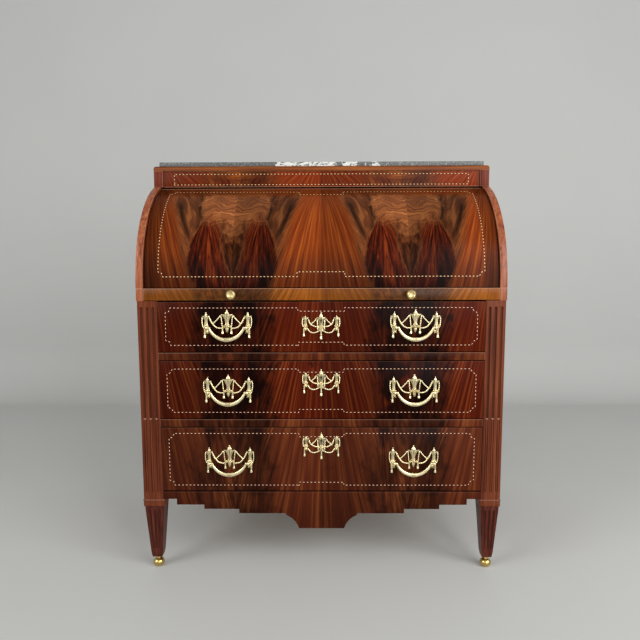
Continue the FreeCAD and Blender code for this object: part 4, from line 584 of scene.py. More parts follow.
def softened(node, name, material, width, leaf=None, trim=(0, 0, 0), thumb=0, wear_and_highlight=1.0, lowest=-0.3):
    """A solid's own shape with its hard edges rounded over, standing for that solid.

    trim is how much wider the gaps below, above and beside it are cut, thumb the radius of the upper edges.
    The setting after thumb is how strong a painted highlight the edges get that look no lower than lowest.
    """
    bm = bmesh.new()
    bm.from_mesh(NODES[node].data)
    bmesh.ops.scale(bm, vec=(1 / MM, 1 / MM, 1 / MM), verts=bm.verts)
    bmesh.ops.remove_doubles(bm, verts=bm.verts, dist=NEAR)
    low, high = edges_mm(node)
    for vert in bm.verts:
        if vert.co.z < low.z + NEAR:
            vert.co.z += trim[0]
        elif vert.co.z > high.z - NEAR:
            vert.co.z -= trim[1]
        if abs(vert.co.x) > high.x - NEAR:
            vert.co.x -= math.copysign(trim[2], vert.co.x)
    bmesh.ops.dissolve_limit(bm, angle_limit=math.radians(1), verts=bm.verts, edges=bm.edges)
    if thumb:
        round_edges(bm, thumb, 6, lambda edge: min(vert.co.z for vert in edge.verts) > high.z - NEAR)
    round_edges(bm, width, wear_and_highlight=wear_and_highlight, lowest=lowest)
    finish(bm, name, [material], NODES[node]["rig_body"], (node,), leaf=leaf)


def upright_leaf(node, own_metre):
    """Map of a flat front: across, and up from its lower edge, from a metre of its own."""
    start = edges_mm(node)[0].z
    return lambda point: (point.x, point.z - start + 1000 * own_metre)


def loft(bm, rings, shade=None):
    """Skin a stack of rings of points and cap its ends; shade says how deep in a hollow each point lies."""
    made = [[bm.verts.new(point) for point in ring] for ring in rings]
    count = len(made[0])
    for low, high in zip(made, made[1:]):
        for i in range(count):
            j = (i + 1) % count
            bm.faces.new((low[i], low[j], high[j], high[i]))
    bm.faces.new(made[0])
    bm.faces.new(made[-1])
    if shade:
        layer = bm.verts.layers.float["hollow"]
        for ring, depths in zip(made, shade):
            for vert, depth in zip(ring, depths):
                vert[layer] = depth


def slab(bm, outline, low, high, axis):
    """A board: an outline pushed from low to high along an axis. The outline gives the other two in order."""
    rings = []
    for level in (low, high):
        ring = []
        for point in outline:
            coordinates = list(point)
            coordinates.insert("xyz".index(axis), level)
            ring.append(Vector(coordinates))
        rings.append(ring)
    loft(bm, rings)


def turned(bm, foot, axis, profile, steps, hollow=()):
    """A shape turned on the lathe: (radius, distance along the axis) pairs from the foot."""
    axis = Vector(axis).normalized()
    first = axis.orthogonal().normalized()
    second = axis.cross(first)
    rings = []
    for radius, along in profile:
        ring = []
        for i in range(steps):
            angle = 2 * math.pi * i / steps
            around = first * math.cos(angle) + second * math.sin(angle)
            ring.append(Vector(foot) + axis * along + around * max(radius, 0.05))
        rings.append(ring)
    loft(bm, rings, [[depth] * steps for depth in hollow])


def arc(centre, radius, start, end, steps):
    """Points of an arc, angles in degrees."""
    points = []
    for i in range(steps + 1):
        angle = math.radians(start + (end - start) * i / steps)
        points.append((centre[0] + radius * math.cos(angle), centre[1] + radius * math.sin(angle)))
    return points


def curved_line(points, count):
    """A smooth line through points, as count + 1 even steps of a Catmull-Rom spline."""
    points = [Vector(point) for point in points]
    line = []
    spans = len(points) - 1
    for i in range(count + 1):
        along = i / count * spans
        k = min(int(along), spans - 1)
        t = along - k
        before = points[max(k - 1, 0)]
        start, end = points[k], points[k + 1]
        after = points[min(k + 2, spans)]
        line.append(0.5 * (2 * start + (end - before) * t + (2 * before - 5 * start + 4 * end - after) * t * t
                           + (3 * start - before - 3 * end + after) * t ** 3))
    return line


# Curved panel and case

SIDE_GAP = 2.6        # how much wider the joint beside the curved panel is cut
ROLL_TOP = 74.5       # degrees over the pivot's level at which the curved panel ends, behind the frieze
ROLL_STEPS = 96
HIGHLIGHT_ROW = 88       # the row of faces just under the frieze, given a painted highlight


def build_curved_panel():
    """Quarter-round veneered panel that closes the desk."""
    bm = bmesh.new()
    bm.loops.layers.float.new("painted_highlight")
    low = -math.degrees(math.asin((PIVOT.z - edges_mm("cylinder_panel")[0].z) / ROLL_RADIUS))
    lines = [arc((0, 0), ROLL_RADIUS - inward, low, ROLL_TOP, ROLL_STEPS) for inward in (0, ROLL_THICK)]
    rows = []
    for x in (-ROLL_HALF + SIDE_GAP, ROLL_HALF - SIDE_GAP):
        for line in lines:
            rows.append([bm.verts.new((x, PIVOT.y - u, PIVOT.z + v)) for u, v in line])
    left_out, left_in, right_out, right_in = rows
    for first, second, finish_index in ((left_out, right_out, 0), (right_in, left_in, 1),
                                        (left_in, left_out, 1), (right_out, right_in, 1)):
        for i in range(ROLL_STEPS):
            face = bm.faces.new((first[i], second[i], second[i + 1], first[i + 1]))
            face.material_index = finish_index
            # a painted highlight on the row just under the frieze
            if i == HIGHLIGHT_ROW:
                paint_highlight(bm, [face], 0.8)
    for i in (0, ROLL_STEPS):
        bm.faces.new((left_out[i], right_out[i], right_in[i], left_in[i])).material_index = 1

    def leaf(point):
        angle = math.atan2(point.z - PIVOT.z, PIVOT.y - point.y)
        return point.x, angle * ROLL_RADIUS

    finish(bm, "curved_panel", [CYLINDER_VENEER, SIDE_WOOD], "cylinder", ("cylinder_panel",),
           leaf=leaf)


def build_sides():
    """Side panels with a quarter-round front edge and a fine joint line at the level of the slide."""
    slide_top = edges_mm("slide_front")[1].z
    post_depth = edges_mm("left_pilaster")[1].y
    top_angle = math.degrees(math.asin((FRIEZE_LOW - PIVOT.z) / SIDE_RADIUS))
    curve = [(PIVOT.y - u, PIVOT.z + v) for u, v in arc((0, 0), SIDE_RADIUS, top_angle, 0, 64)]
    # the joint line is a V, 1.4 mm wide and 1 mm deep
    notch = [(FACE, slide_top + 0.7), (FACE + 1.0, slide_top), (FACE, slide_top - 0.7)]
    outline = [(post_depth, CASE_FLOOR), (BACK, CASE_FLOOR), (BACK, FRIEZE_LOW)]
    outline += curve + notch + [(FACE, POST_TOP), (post_depth, POST_TOP)]
    for node in ("left_side", "right_side"):
        low, high = edges_mm(node)
        bm = bmesh.new()
        slab(bm, outline, low.x, high.x, "x")
        round_edges(bm, 1.3)
        for face in bm.faces:
            spot = face.calc_center_median()
            if abs(face.normal.x) < 0.9 and spot.y < PIVOT.y and spot.z > POST_TOP:
                face.material_index = 1
        finish(bm, f"{node}_panel", [SIDE_WOOD, EDGE_WOOD], "carcase", (node,))


POST_HALF = 28
POST_EASE = 1.5                        # radius of the posts' long edges
POST_FLAT = POST_HALF - POST_EASE
FLUTE_LOW = CASE_FLOOR + 20.5
FLUTE_HIGH = POST_TOP - 17
FLUTE_RADIUS = 4
FLUTE_PITCH = 16.5
FLUTED_HALF = FLUTE_PITCH + FLUTE_RADIUS + 0.3
REED_TOP = FLUTE_LOW + 221
REED_RADIUS = 3.2
ACROSS = (-1, 0, 1)                    # places of the three flutes of a post or leg
QUARTER = [math.radians(turn) for turn in range(0, 91, 15)]


def flute_depth(x, z):
    """Depth of a post's front face below its flat: round-ended flutes, reeded in the lower stretch."""
    offset = min(abs(x - across * FLUTE_PITCH) for across in ACROSS)
    past = max(z - (FLUTE_HIGH - FLUTE_RADIUS), (FLUTE_LOW + FLUTE_RADIUS) - z, 0)
    reach = FLUTE_RADIUS ** 2 - offset ** 2 - past ** 2
    depth = math.sqrt(reach) if reach > 0 else 0
    over = max(z - (REED_TOP - REED_RADIUS), 0)
    reed = REED_RADIUS ** 2 - offset ** 2 - over ** 2
    if reed > 0:
        depth = min(depth, REED_RADIUS - math.sqrt(reed))
    return depth


def build_posts():
    """Front corner posts, each with three flutes that are reeded in the lower stretch."""
    columns = {-FLUTED_HALF, FLUTED_HALF}
    for x in (POST_FLAT, POST_HALF - 0.7, POST_HALF - 0.2, POST_HALF):
        columns.update((-x, x))
    for across in ACROSS:
        for turn in range(-90, 91, 12):
            columns.add(round(across * FLUTE_PITCH + FLUTE_RADIUS * math.sin(math.radians(turn)), 3))
    columns = sorted(columns)
    # close rows at the round ends of flutes and reeds, and a few between them
    rows = [CASE_FLOOR, CASE_FLOOR + 10, FLUTE_LOW - 0.3]
    rows += [FLUTE_LOW + FLUTE_RADIUS * (1 - math.cos(turn)) for turn in QUARTER]
    rows += [320, 380, 430]
    rows += [REED_TOP - REED_RADIUS * (1 - math.sin(turn)) for turn in QUARTER]
    rows += [REED_TOP + 0.3, 520, 600, 700, 760]
    rows += [FLUTE_HIGH - FLUTE_RADIUS * (1 - math.sin(turn)) for turn in QUARTER]
    rows += [FLUTE_HIGH + 0.3, POST_TOP - 8, POST_TOP]
    for node in ("left_pilaster", "right_pilaster"):
        low, high = edges_mm(node)
        middle = (low.x + high.x) / 2
        bm = new_casting()
        wax_and_shade = bm.verts.layers.float["hollow"]
        bm.loops.layers.float.new("painted_highlight")
        grid = []
        for z in rows:
            line = []
            for x in columns:
                depth = flute_depth(x, z)
                if abs(x) > POST_FLAT:
                    depth = POST_EASE - math.sqrt(max(POST_EASE ** 2 - (abs(x) - POST_FLAT) ** 2, 0))
                vert = bm.verts.new((middle + x, low.y + depth, z))
                # how deep in a flute a point lies, darkened as wax and painted shade
                vert[wax_and_shade] = min(1.0, depth / 2.2) if abs(x) < POST_FLAT else 0.0
                line.append(vert)
            grid.append(line)
        for under, over in zip(grid, grid[1:]):
            for i in range(len(columns) - 1):
                face = bm.faces.new((under[i], under[i + 1], over[i + 1], over[i]))
                spot = face.calc_center_median()
                # the caps of the reeds, the top 3 mm, get a painted highlight
                in_cap = abs(spot.z - REED_TOP + 1.5) < 1.6
                if in_cap and low.y < spot.y and abs(spot.x - middle) < FLUTED_HALF:
                    paint_highlight(bm, [face], 1.0)
        rim = [edge for edge in bm.edges if edge.is_boundary]
        pulled = bmesh.ops.extrude_edge_only(bm, edges=rim)["geom"]
        for vert in (part for part in pulled if isinstance(part, bmesh.types.BMVert)):
            vert.co.y = high.y
            vert[wax_and_shade] = 0.0
        bmesh.ops.holes_fill(bm, edges=[edge for edge in bm.edges if edge.is_boundary], sides=0)
        finish(bm, f"{node}_fluted", [POST_WOOD], "carcase", (node,), sharp=40)


# for each face of a post: the way along it, the way out of it, and its name
POST_FACES = ((Vector((1, 0, 0)), Vector((0, -1, 0)), "front"),
              (Vector((0, 1, 0)), Vector((1, 0, 0)), "right"),
              (Vector((-1, 0, 0)), Vector((0, 1, 0)), "rear"),
              (Vector((0, -1, 0)), Vector((-1, 0, 0)), "left"))


def square_ring(half, z, x, y, fractions, depths):
    """Points round a square post; depths says how far in a face lies at a fraction of its half width."""
    ring = []
    for along, outward, face in POST_FACES:
        for fraction in fractions[:-1]:
            spot = along * (fraction * half) + outward * (half - depths(face, fraction))
            ring.append(Vector((x, y, z)) + spot)
    return ring


LEGS = ("front_left_leg", "front_right_leg", "rear_left_leg", "rear_right_leg")
LEG_FLUTE = 0.5            # place of the outer flutes, as a share of the leg's half width
LEG_FLUTE_HALF = 0.135     # half the width of a flute, as the same share
LEG_FLUTE_DEPTH = 0.85     # depth of a flute, as a share of half its width
COLLAR_HEIGHT = 21
TOE_HALF, ANKLE_HALF, LEG_TOP_HALF = 14.25, 16.5, 27.25
# level over the case's floor and half width, up the collar and up the bead on it
COLLAR = ((-COLLAR_HEIGHT, 28.3), (1.2 - COLLAR_HEIGHT, 29.5), (-6, 29.5), (-5, 29.0))
COLLAR_BEAD = ((-5, 29.2), (-4.6, 30.2), (-3.6, 30.8), (-2.5, 31), (-1.4, 30.8), (-0.4, 30.2), (0, 29.2))


def build_leg(node):
    """A square tapered leg with a bevelled toe and a beaded collar; the front ones are fluted."""
    fluted = node.startswith("front")
    low, high = edges_mm(node)
    x, y = (low.x + high.x) / 2, (low.y + high.y) / 2
    outer_face = "left" if x < 0 else "right"
    foot, top = low.z, CASE_FLOOR - COLLAR_HEIGHT
    ankle = foot + 14
    flute_foot, flute_head = ankle + 12, top - 13
    fractions = [-1.0, -0.94]
    for across in ACROSS:
        for turn in range(-90, 91, 18):
            fractions.append(across * LEG_FLUTE + LEG_FLUTE_HALF * math.sin(math.radians(turn)))
    fractions += [0.94, 1.0]
    # close rows at the round ends of the flutes, and a few between them
    rows = [foot, ankle, ankle + 7]
    rows += [flute_foot + 3 * i / 4 for i in range(5)]
    rows += [95, 130, 160]
    rows += [flute_head - 4 + 4 * i / 5 for i in range(6)]
    rows += [top - 7, top]

    def shaft_ring(z):
        """Points round the shaft at a level, and how deep in a hollow each lies."""
        if z < ankle:
            half = TOE_HALF + (ANKLE_HALF - TOE_HALF) * (z - foot) / (ankle - foot)
        else:
            half = ANKLE_HALF + (LEG_TOP_HALF - ANKLE_HALF) * (z - ankle) / (top - ankle)
        hollows = []

        def depths(face, fraction):
            depth = 0.0
            if abs(fraction) > 0.97:
                depth = 0.4
            elif fluted and face in ("front", outer_face):
                radius = LEG_FLUTE_HALF * half
                offset = min(abs(fraction - across * LEG_FLUTE) for across in ACROSS) * half
                past = max(z - (flute_head - radius), (flute_foot + radius) - z, 0)
                reach = radius ** 2 - offset ** 2 - past ** 2
                depth = LEG_FLUTE_DEPTH * math.sqrt(reach) if reach > 0 else 0.0
            # how deep in a flute a point lies, darkened as wax and painted shade
            hollows.append(min(1.0, depth / 2.0) if abs(fraction) < 0.9 else 0.0)
            return depth

        return square_ring(half, z, x, y, fractions, depths), hollows

    bm = new_casting()
    loft(bm, *zip(*(shaft_ring(z) for z in rows)))
    shaft_faces = len(bm.faces)

    def eased(face, fraction):
        return 0.5 if abs(fraction) > 0.98 else 0.0

    for profile in (COLLAR, COLLAR_BEAD):
        loft(bm, [square_ring(half, CASE_FLOOR + rise, x, y, (-1.0, -0.96, 0.96, 1.0), eased)
                  for rise, half in profile])
    bm.loops.layers.float.new("painted_highlight")
    bm.faces.ensure_lookup_table()
    for face in bm.faces[shaft_faces:]:
        face.material_index = 1
        # the top of the collar's bead gets a faint painted highlight
        if face.calc_center_median().z > CASE_FLOOR - 3.8:
            paint_highlight(bm, [face], 0.25)
    finish(bm, f"{node}_tapered", [LEG_WOOD, POST_WOOD], "carcase", (node,), sharp=40)


BALL_RADIUS, BALL_CENTRE = 12.8, 12.3
BALL_SPREAD = 3.5          # how much further out than a ball's the side of a foot lies


def build_feet():
    """Four polished brass balls on ringed necks."""
    profile = [(0, 0), (6.9, 0)]
    profile += arc((BALL_SPREAD, BALL_CENTRE), BALL_RADIUS, -72, 72, 24)
    profile += [(6.0, 25.2), (5.4, 26.2), (5.4, 28.4), (6.6, 29.4), (8.2, 30.2), (8.8, 31.3), (8.2, 32.5),
                (7.4, 33.1), (7.4, 34.0)]
    bm = new_casting()
    for node in LEGS:
        low, high = edges_mm(node)
        turned(bm, ((low.x + high.x) / 2, (low.y + high.y) / 2, 0), UP, profile, 40)
    finish(bm, "turned_ball_feet", [FOOT_BRASS], "carcase", ("ball_feet",), sharp=50)


APRON_STEPS = ((39, 17.5), (119, 30.5), (221, 43.5))     # distance in from the end, depth under the case
PENDANT_HALF, PENDANT_FOOT_HALF, PENDANT_DROP = 104, 64, 45
SHOULDER_RISE = 40                                       # from the pendant's foot up to its shoulders


def build_apron():
    """Stepped apron with a hollow-shouldered pendant."""
    low, high = edges_mm("apron")
    right = [(high.x, high.z), (high.x, CASE_FLOOR)]
    level = CASE_FLOOR
    for inset, depth in APRON_STEPS:
        right += [(high.x - inset, level), (high.x - inset, CASE_FLOOR - depth)]
        level = CASE_FLOOR - depth
    right.append((PENDANT_HALF, level))
    pendant = level - PENDANT_DROP
    shoulder = (PENDANT_HALF + 22, pendant - 18)
    reach = math.dist(shoulder, (PENDANT_HALF, pendant + SHOULDER_RISE))
    start = math.degrees(math.atan2(pendant + SHOULDER_RISE - shoulder[1], PENDANT_HALF - shoulder[0]))
    end = math.degrees(math.atan2(pendant - shoulder[1], PENDANT_FOOT_HALF - shoulder[0]))
    right += arc(shoulder, reach, start, end, 24)
    left = [(-x, z) for x, z in reversed(right)]
    bm = bmesh.new()
    slab(bm, right + left, low.y, high.y, "y")
    round_edges(bm, 0.7, wear_and_highlight=0.2)
    finish(bm, "stepped_apron", [APRON_VENEER], "carcase", ("apron",),
           leaf=upright_leaf("apron", 6))


BACK_STILE, BACK_BAR, BACK_SUNK = 76, 88, 5     # widths of the frame's stiles and rails, depth of its panels


def build_back():
    """Framed back: two stiles, a middle stile and three rails, with panels sunk between them."""
    low, high = edges_mm("back_panel")
    sunk = high.y - BACK_SUNK
    bm = bmesh.new()
    scratch = bpy.data.meshes.new("scratch")

    def member(x0, x1, z0, z1, y0, y1, ease, wood=0):
        part = bmesh.new()
        slab(part, [(x0, z0), (x1, z0), (x1, z1), (x0, z1)], y0, y1, "y")
        round_edges(part, ease, wear_and_highlight=0.1)
        for face in part.faces:
            face.material_index = wood
        part.to_mesh(scratch)
        part.free()
        bm.from_mesh(scratch)

    member(low.x, high.x, low.z, high.z, low.y, sunk, 0.5)
    half_stile, half_bar = BACK_STILE / 2, BACK_BAR / 2
    left, right = low.x + BACK_STILE, high.x - BACK_STILE
    middle = (low.z + high.z) / 2
    for x0, x1 in ((low.x, left), (-half_stile, half_stile), (right, high.x)):
        member(x0, x1, low.z, high.z, sunk, high.y, 1.2)
    for x0, x1 in ((left, -half_stile), (half_stile, right)):
        for z0, z1 in ((low.z, low.z + BACK_BAR), (middle - half_bar, middle + half_bar),
                       (high.z - BACK_BAR, high.z)):
            member(x0, x1, z0, z1, sunk, high.y, 1.2, 1)
    bpy.data.meshes.remove(scratch)
    finish(bm, "framed_back", [BACK_OAK, BACK_RAIL], "carcase", ("back_panel",))


build_curved_panel()
build_sides()
build_posts()
for leg_node in LEGS:
    build_leg(leg_node)
build_feet()
build_apron()
build_back()
softened("upper_rail", "upper_rail_veneered", BROWN_VENEER, 1.1, upright_leaf("upper_rail", 4), wear_and_highlight=0.5)
softened("lower_rail", "lower_rail_veneered", BROWN_VENEER, 1.1, upright_leaf("lower_rail", 5), wear_and_highlight=0.4)
softened("frieze_panel", "frieze_panel_veneered", FRIEZE_VENEER, 1.4, upright_leaf("frieze_panel", 0),
         trim=(0, 0, 1.6), lowest=-1)
softened("frieze_ends", "frieze_end_blocks", BLOCK_WOOD, 1.9, lowest=-1)
softened("top_board", "top_board_moulded", CROSS_WOOD, 0.5, thumb=7)
softened("marble_top", "marble_slab", MARBLE, 0.6)
softened("slide_front", "slide_front_banded", SLIDE_VENEER, 1.1, upright_leaf("slide_front", 7),
         trim=(0.4, 0.2, 0))
softened("writing_board", "writing_board_eased", CROSS_WOOD, 0.8, wear_and_highlight=0.3)
softened("leather_inset", "leather_inset_skived", LEATHER, 0.3, wear_and_highlight=0)
for own_metre, level in enumerate(LEVELS, start=1):
    drawer_front = f"{level}_drawer_front"
    # the joint over the apron is cut wider than the others
    veneer, foot_gap = (BROWN_VENEER, 4.0) if level == "lower" else (DRAWER_VENEER, 1.2)
    softened(drawer_front, f"{drawer_front}_veneered", veneer, 1.0, upright_leaf(drawer_front, own_metre),
             trim=(foot_gap, 1.1, 0), wear_and_highlight=0.15)


# Chequered stringing

PALE_SHARE, DARK_SHARE = 0.4, 0.56     # lengths of a pale and a dark square, as shares of the pitch of a pair
STRIP_THICK = 0.3


def stringing_tree(sizes, bend, pale, dark):
    """Nodes that lay small alternating squares along a drawn line, then press them onto a face.

    The line is drawn flat, across in x and up in y. On the curved panel the flat is rolled up.
    """
    tree = bpy.data.node_groups.new("chequered_stringing", "GeometryNodeTree")
    tree.interface.new_socket("Geometry", in_out="INPUT", socket_type="NodeSocketGeometry")
    for label in sizes:
        tree.interface.new_socket(label, in_out="INPUT", socket_type="NodeSocketFloat")
    tree.interface.new_socket("Geometry", in_out="OUTPUT", socket_type="NodeSocketGeometry")
    given = add(tree, "NodeGroupInput").outputs
    line = add(tree, "GeometryNodeMeshToCurve", {0: given["Geometry"]})
    beads = add(tree, "GeometryNodeResampleCurve", {"Curve": line, "Length": given["Step"]}, mode="LENGTH")
    along = add(tree, "FunctionNodeAlignRotationToVector",
                {"Vector": add(tree, "GeometryNodeInputTangent")}, axis="X", pivot_axis="Z")
    odd = add(tree, "ShaderNodeMath", {0: add(tree, "GeometryNodeInputIndex"), 1: 2.0}, operation="MODULO")
    even = add(tree, "ShaderNodeMath", {0: 1.0, 1: odd}, operation="SUBTRACT")
    spot = add(tree, "ShaderNodeSeparateXYZ", {0: add(tree, "GeometryNodeInputPosition")})
    if bend:
        angle = add(tree, "ShaderNodeMath", {0: spot.outputs[1], 1: given["Roll Radius"]}, operation="DIVIDE")
        reach = add(tree, "ShaderNodeMath", {0: spot.outputs[2], 1: given["Roll Radius"]}, operation="ADD")
        cosine = add(tree, "ShaderNodeMath", {0: angle}, operation="COSINE")
        sine = add(tree, "ShaderNodeMath", {0: angle}, operation="SINE")
        forward = add(tree, "ShaderNodeMath", {0: reach, 1: cosine}, operation="MULTIPLY")
        y = add(tree, "ShaderNodeMath", {0: given["Pivot Y"], 1: forward}, operation="SUBTRACT")
        z = add(tree, "ShaderNodeMath", {0: reach, 1: sine, 2: given["Pivot Z"]}, operation="MULTIPLY_ADD")
    else:
        y = add(tree, "ShaderNodeMath", {0: given["Face Y"], 1: spot.outputs[2]}, operation="SUBTRACT")
        z = spot.outputs[1]
    pressed = add(tree, "ShaderNodeCombineXYZ", {0: spot.outputs[0], 1: y, 2: z})
    whole = add(tree, "GeometryNodeJoinGeometry")
    for choice, length, material in ((even, "Pale Length", pale), (odd, "Dark Length", dark)):
        size = add(tree, "ShaderNodeCombineXYZ",
                   {0: given[length], 1: given["Strip Width"], 2: given["Thickness"]})
        square = add(tree, "GeometryNodeMeshCube", {"Size": size})
        set_out = add(tree, "GeometryNodeInstanceOnPoints",
                      {"Points": beads, "Selection": choice, "Instance": square, "Rotation": along})
        real = add(tree, "GeometryNodeRealizeInstances", {0: set_out})
        laid = add(tree, "GeometryNodeSetPosition", {0: real, "Position": pressed})
        coloured = add(tree, "GeometryNodeSetMaterial", {0: laid, "Material": material})
        tree.links.new(coloured.outputs[0], whole.inputs[0])
    add(tree, "NodeGroupOutput", {0: whole})
    return tree


def lay_stringing(name, line, body, pitch, width, face=0.0, bend=False, pale=PINK_HOLLY):
    """Inlay a closed line, given flat in millimetres, into a front."""
    drawn = bpy.data.meshes.new(name)
    points = [(x * MM, z * MM, 0) for x, z in line]
    drawn.from_pydata(points, [(i, (i + 1) % len(line)) for i in range(len(line))], [])
    holder = bpy.data.objects.new(name + "_lines", drawn)
    bpy.context.scene.collection.objects.link(holder)
    sizes = {"Step": pitch / 2, "Strip Width": width, "Pale Length": PALE_SHARE * pitch,
             "Dark Length": DARK_SHARE * pitch, "Thickness": STRIP_THICK, "Face Y": face,
             "Roll Radius": ROLL_RADIUS, "Pivot Y": PIVOT.y, "Pivot Z": PIVOT.z}
    tree = stringing_tree(sizes, bend, pale, EBONY)
    nodes = holder.modifiers.new("stringing", "NODES")
    nodes.node_group = tree
    for socket in tree.interface.items_tree:
        if socket.in_out == "INPUT" and socket.name in sizes:
            nodes[socket.identifier] = sizes[socket.name] * MM
    bpy.context.view_layer.update()
    graph = bpy.context.evaluated_depsgraph_get()
    mesh = bpy.data.meshes.new_from_object(holder.evaluated_get(graph))
    mesh.name = name
    bpy.data.objects.remove(holder)
    ride(mesh, name, [], body, ())


def panel_line(half, low, high, corner, centre, low_step, high_step):
    """A closed line with hollow corners and a stretch at the middle that steps inward."""
    right = [(centre, low + low_step), (centre, low)]
    right += arc((half, low), corner, 180, 90, 6) + arc((half, high), corner, 270, 180, 6)
    right += [(centre, high), (centre, high - high_step)]
    left = [(-x, z) for x, z in reversed(right)]
    return left[-2:] + right + left[:-2]


lay_stringing("curved_panel_stringing",
              panel_line(half=458, low=24.6, high=342, corner=14, centre=67, low_step=13.2, high_step=20),
              "cylinder", pitch=10.2, width=1.75, bend=True, pale=HOLLY)
frieze_low, frieze_high, frieze_half = FRIEZE_LOW + 7.2, FRIEZE_HIGH - 9.8, 457
lay_stringing("frieze_stringing",
              [(-frieze_half, frieze_low), (frieze_half, frieze_low),
               (frieze_half, frieze_high), (-frieze_half, frieze_high)],
              "carcase", pitch=11.0, width=1.6, face=FRIEZE_FACE, pale=HOLLY)
for level, low_margin, high_margin in (("upper", 20, 18), ("middle", 19.5, 23), ("lower", 20.5, 17.5)):
    low, high = edges_mm(f"{level}_drawer_front")
    line = panel_line(half=439, low=low.z + low_margin, high=high.z - high_margin, corner=14, centre=65,
                      low_step=8.5, high_step=9.5)
    lay_stringing(f"{level}_drawer_stringing", line, f"{level}_drawer", pitch=11.1, width=1.25, face=FACE)


# Gilt brass mounts

def relief(bm, x, z, profile, depth, lobes, swell, wax_and_shade=0.0):
    """A turned shape in half relief on a flat back: (half width, height) pairs from the foot up.

    depth is how far it stands out as a share of its half width, lobes how many ribs it has and swell how
    deep the grooves between them are. The last setting is how dark its body is left, below a bright rim and
    lid, as wax and painted shade.
    """
    steps = 16
    widest = max(half for half, height in profile)
    rings, shade = [], []
    for half, height in profile:
        body = wax_and_shade if half < 0.9 * widest and height < 0.6 * profile[-1][1] else 0.0
        width = max(half, 0.3)
        ring, dark = [], []
        for i in range(steps + 1):
            angle = math.pi * i / steps
            groove = 0.5 - 0.5 * math.cos(lobes * 2 * angle)
            out = width * depth * math.sin(angle) * (1 - swell * groove)
            ring.append(Vector((x - width * math.cos(angle), FACE - out, z + height)))
            # the grooves and the foot against the plate are darkened as wax and painted shade
            dark.append(body + 0.75 * groove + (0.8 if i in (0, steps) else 0.0))
        rings.append(ring)
        shade.append(dark)
    loft(bm, rings, shade)


GARLAND_LIFT = 3.0      # how far off the face the middle of a garland lies


def garland(bm, x, z, sign, points, radius, beads=9):
    """A cast garland along a smooth line: a tube that swells into beads, set just off the face.

    The points are given from (x, z), to the right or, where sign is -1, to the left.
    """
    count, steps = 60, 10
    line = curved_line([(x + sign * aside, FACE - GARLAND_LIFT, z + rise) for aside, rise in points], count)
    rings, shade = [], []
    for i, spot in enumerate(line):
        before, after = line[max(i - 1, 0)], line[min(i + 1, count)]
        along = (after - before).normalized()
        across = along.cross(OUT).normalized()
        share = i / count
        pulse = abs(math.sin(math.pi * beads * share))
        taper = min(1.0, 0.35 + 5 * share, 0.35 + 5 * (1 - share))
        thick = radius * (0.78 + 0.3 * pulse) * taper
        ring = []
        for k in range(steps):
            angle = 2 * math.pi * k / steps
            ring.append(spot + across * (thick * math.cos(angle)) + OUT * (thick * math.sin(angle)))
        rings.append(ring)
        # the waists between the beads are darkened as wax and painted shade
        shade.append([0.55 * (1 - pulse)] * steps)
    loft(bm, rings, shade)


# share of a tassel's half width, share of its height and how dark as wax and painted shade, from the foot up
# between its two tips
TASSEL = ((0.98, 0.12, 0.0), (0.8, 0.3, 0.2), (0.55, 0.42, 0.8), (0.72, 0.5, 0.1), (0.6, 0.57, 0.7),
          (0.5, 0.8, 0.2), (0.62, 0.93, 0.3))


def tassel(bm, x, top, foot, half):
    """A hanging tassel: knot, waist and flared skirt, with grooves left dark."""
    drop = top - foot
    profile = [(0.4, 0.0), (half, 0.4)]
    profile += [(half * width, rise * drop) for width, rise, dark in TASSEL]
    profile.append((0.4, drop))
    hollow = [0.6, 0.1, *(dark for width, rise, dark in TASSEL), 0.5]
    turned(bm, (x, FACE - 3.2, foot), UP, profile, 12, hollow)


# share of a rosette's radius, share of its height and how dark as wax and painted shade, from its rim to the
# tip of its button
ROSETTE = ((1.0, 0.0, 0.8), (1.0, 0.45, 0.3), (0.86, 0.8, 0.0), (0.6, 0.95, 0.1), (0.4, 0.7, 0.9),
           (0.36, 0.8, 0.4), (0.28, 1.15, 0.0), (0.12, 1.3, 0.0), (0.02, 1.32, 0.0))


def rosette(bm, x, z, radius, height, petals):
    """A domed flower with a button at its middle."""
    steps = petals * 6
    rings, shade = [], []
    for share, rise, dark in ROSETTE:
        ring, depths = [], []
        for i in range(steps):
            angle = 2 * math.pi * i / steps
            cleft = 1 - abs(math.cos(petals * angle / 2))
            reach = radius * share * (1 - (0.22 * cleft if share > 0.45 else 0))
            lift = height * rise * (1 - (0.3 * cleft if 0.5 < share < 0.95 else 0))
            ring.append(Vector((x + reach * math.cos(angle), FACE - lift, z + reach * math.sin(angle))))
            # the clefts between the petals are darkened as wax and painted shade
            depths.append(min(1.0, dark + 0.6 * cleft))
        rings.append(ring)
        shade.append(depths)
    loft(bm, rings, shade)


# share of a leaf's half width, share of its height and how dark as wax and painted shade, across its section
# with a sunk midrib
LEAF_SECTION = ((-1, 0, 0.8), (-0.9, 0.5, 0.3), (-0.4, 1, 0.0), (0, 0.68, 0.9),
                (0.4, 1, 0.0), (0.9, 0.5, 0.3), (1, 0, 0.8))


def leaf_spray(bm, x, z, length, half, angle, height=2.6):
    """A pointed leaf with a sunk midrib, lying on the face; angle 0 points down."""
    turn = math.radians(angle)
    tipward = Vector((math.sin(turn), 0, -math.cos(turn)))
    across = Vector((math.cos(turn), 0, math.sin(turn)))
    rings, shade = [], []
    for share in (0.0, 0.12, 0.3, 0.5, 0.7, 0.86, 0.97):
        width = half * math.sin(math.pi * (0.12 + 0.86 * share) ** 0.8)
        crown = height * (0.55 + 0.6 * math.sin(math.pi * share))
        middle = Vector((x, FACE, z)) + tipward * (length * share)
        rings.append([middle + across * (width * aside) + OUT * (crown * out)
                      for aside, out, dark in LEAF_SECTION])
        shade.append([dark for aside, out, dark in LEAF_SECTION])
    loft(bm, rings, shade)


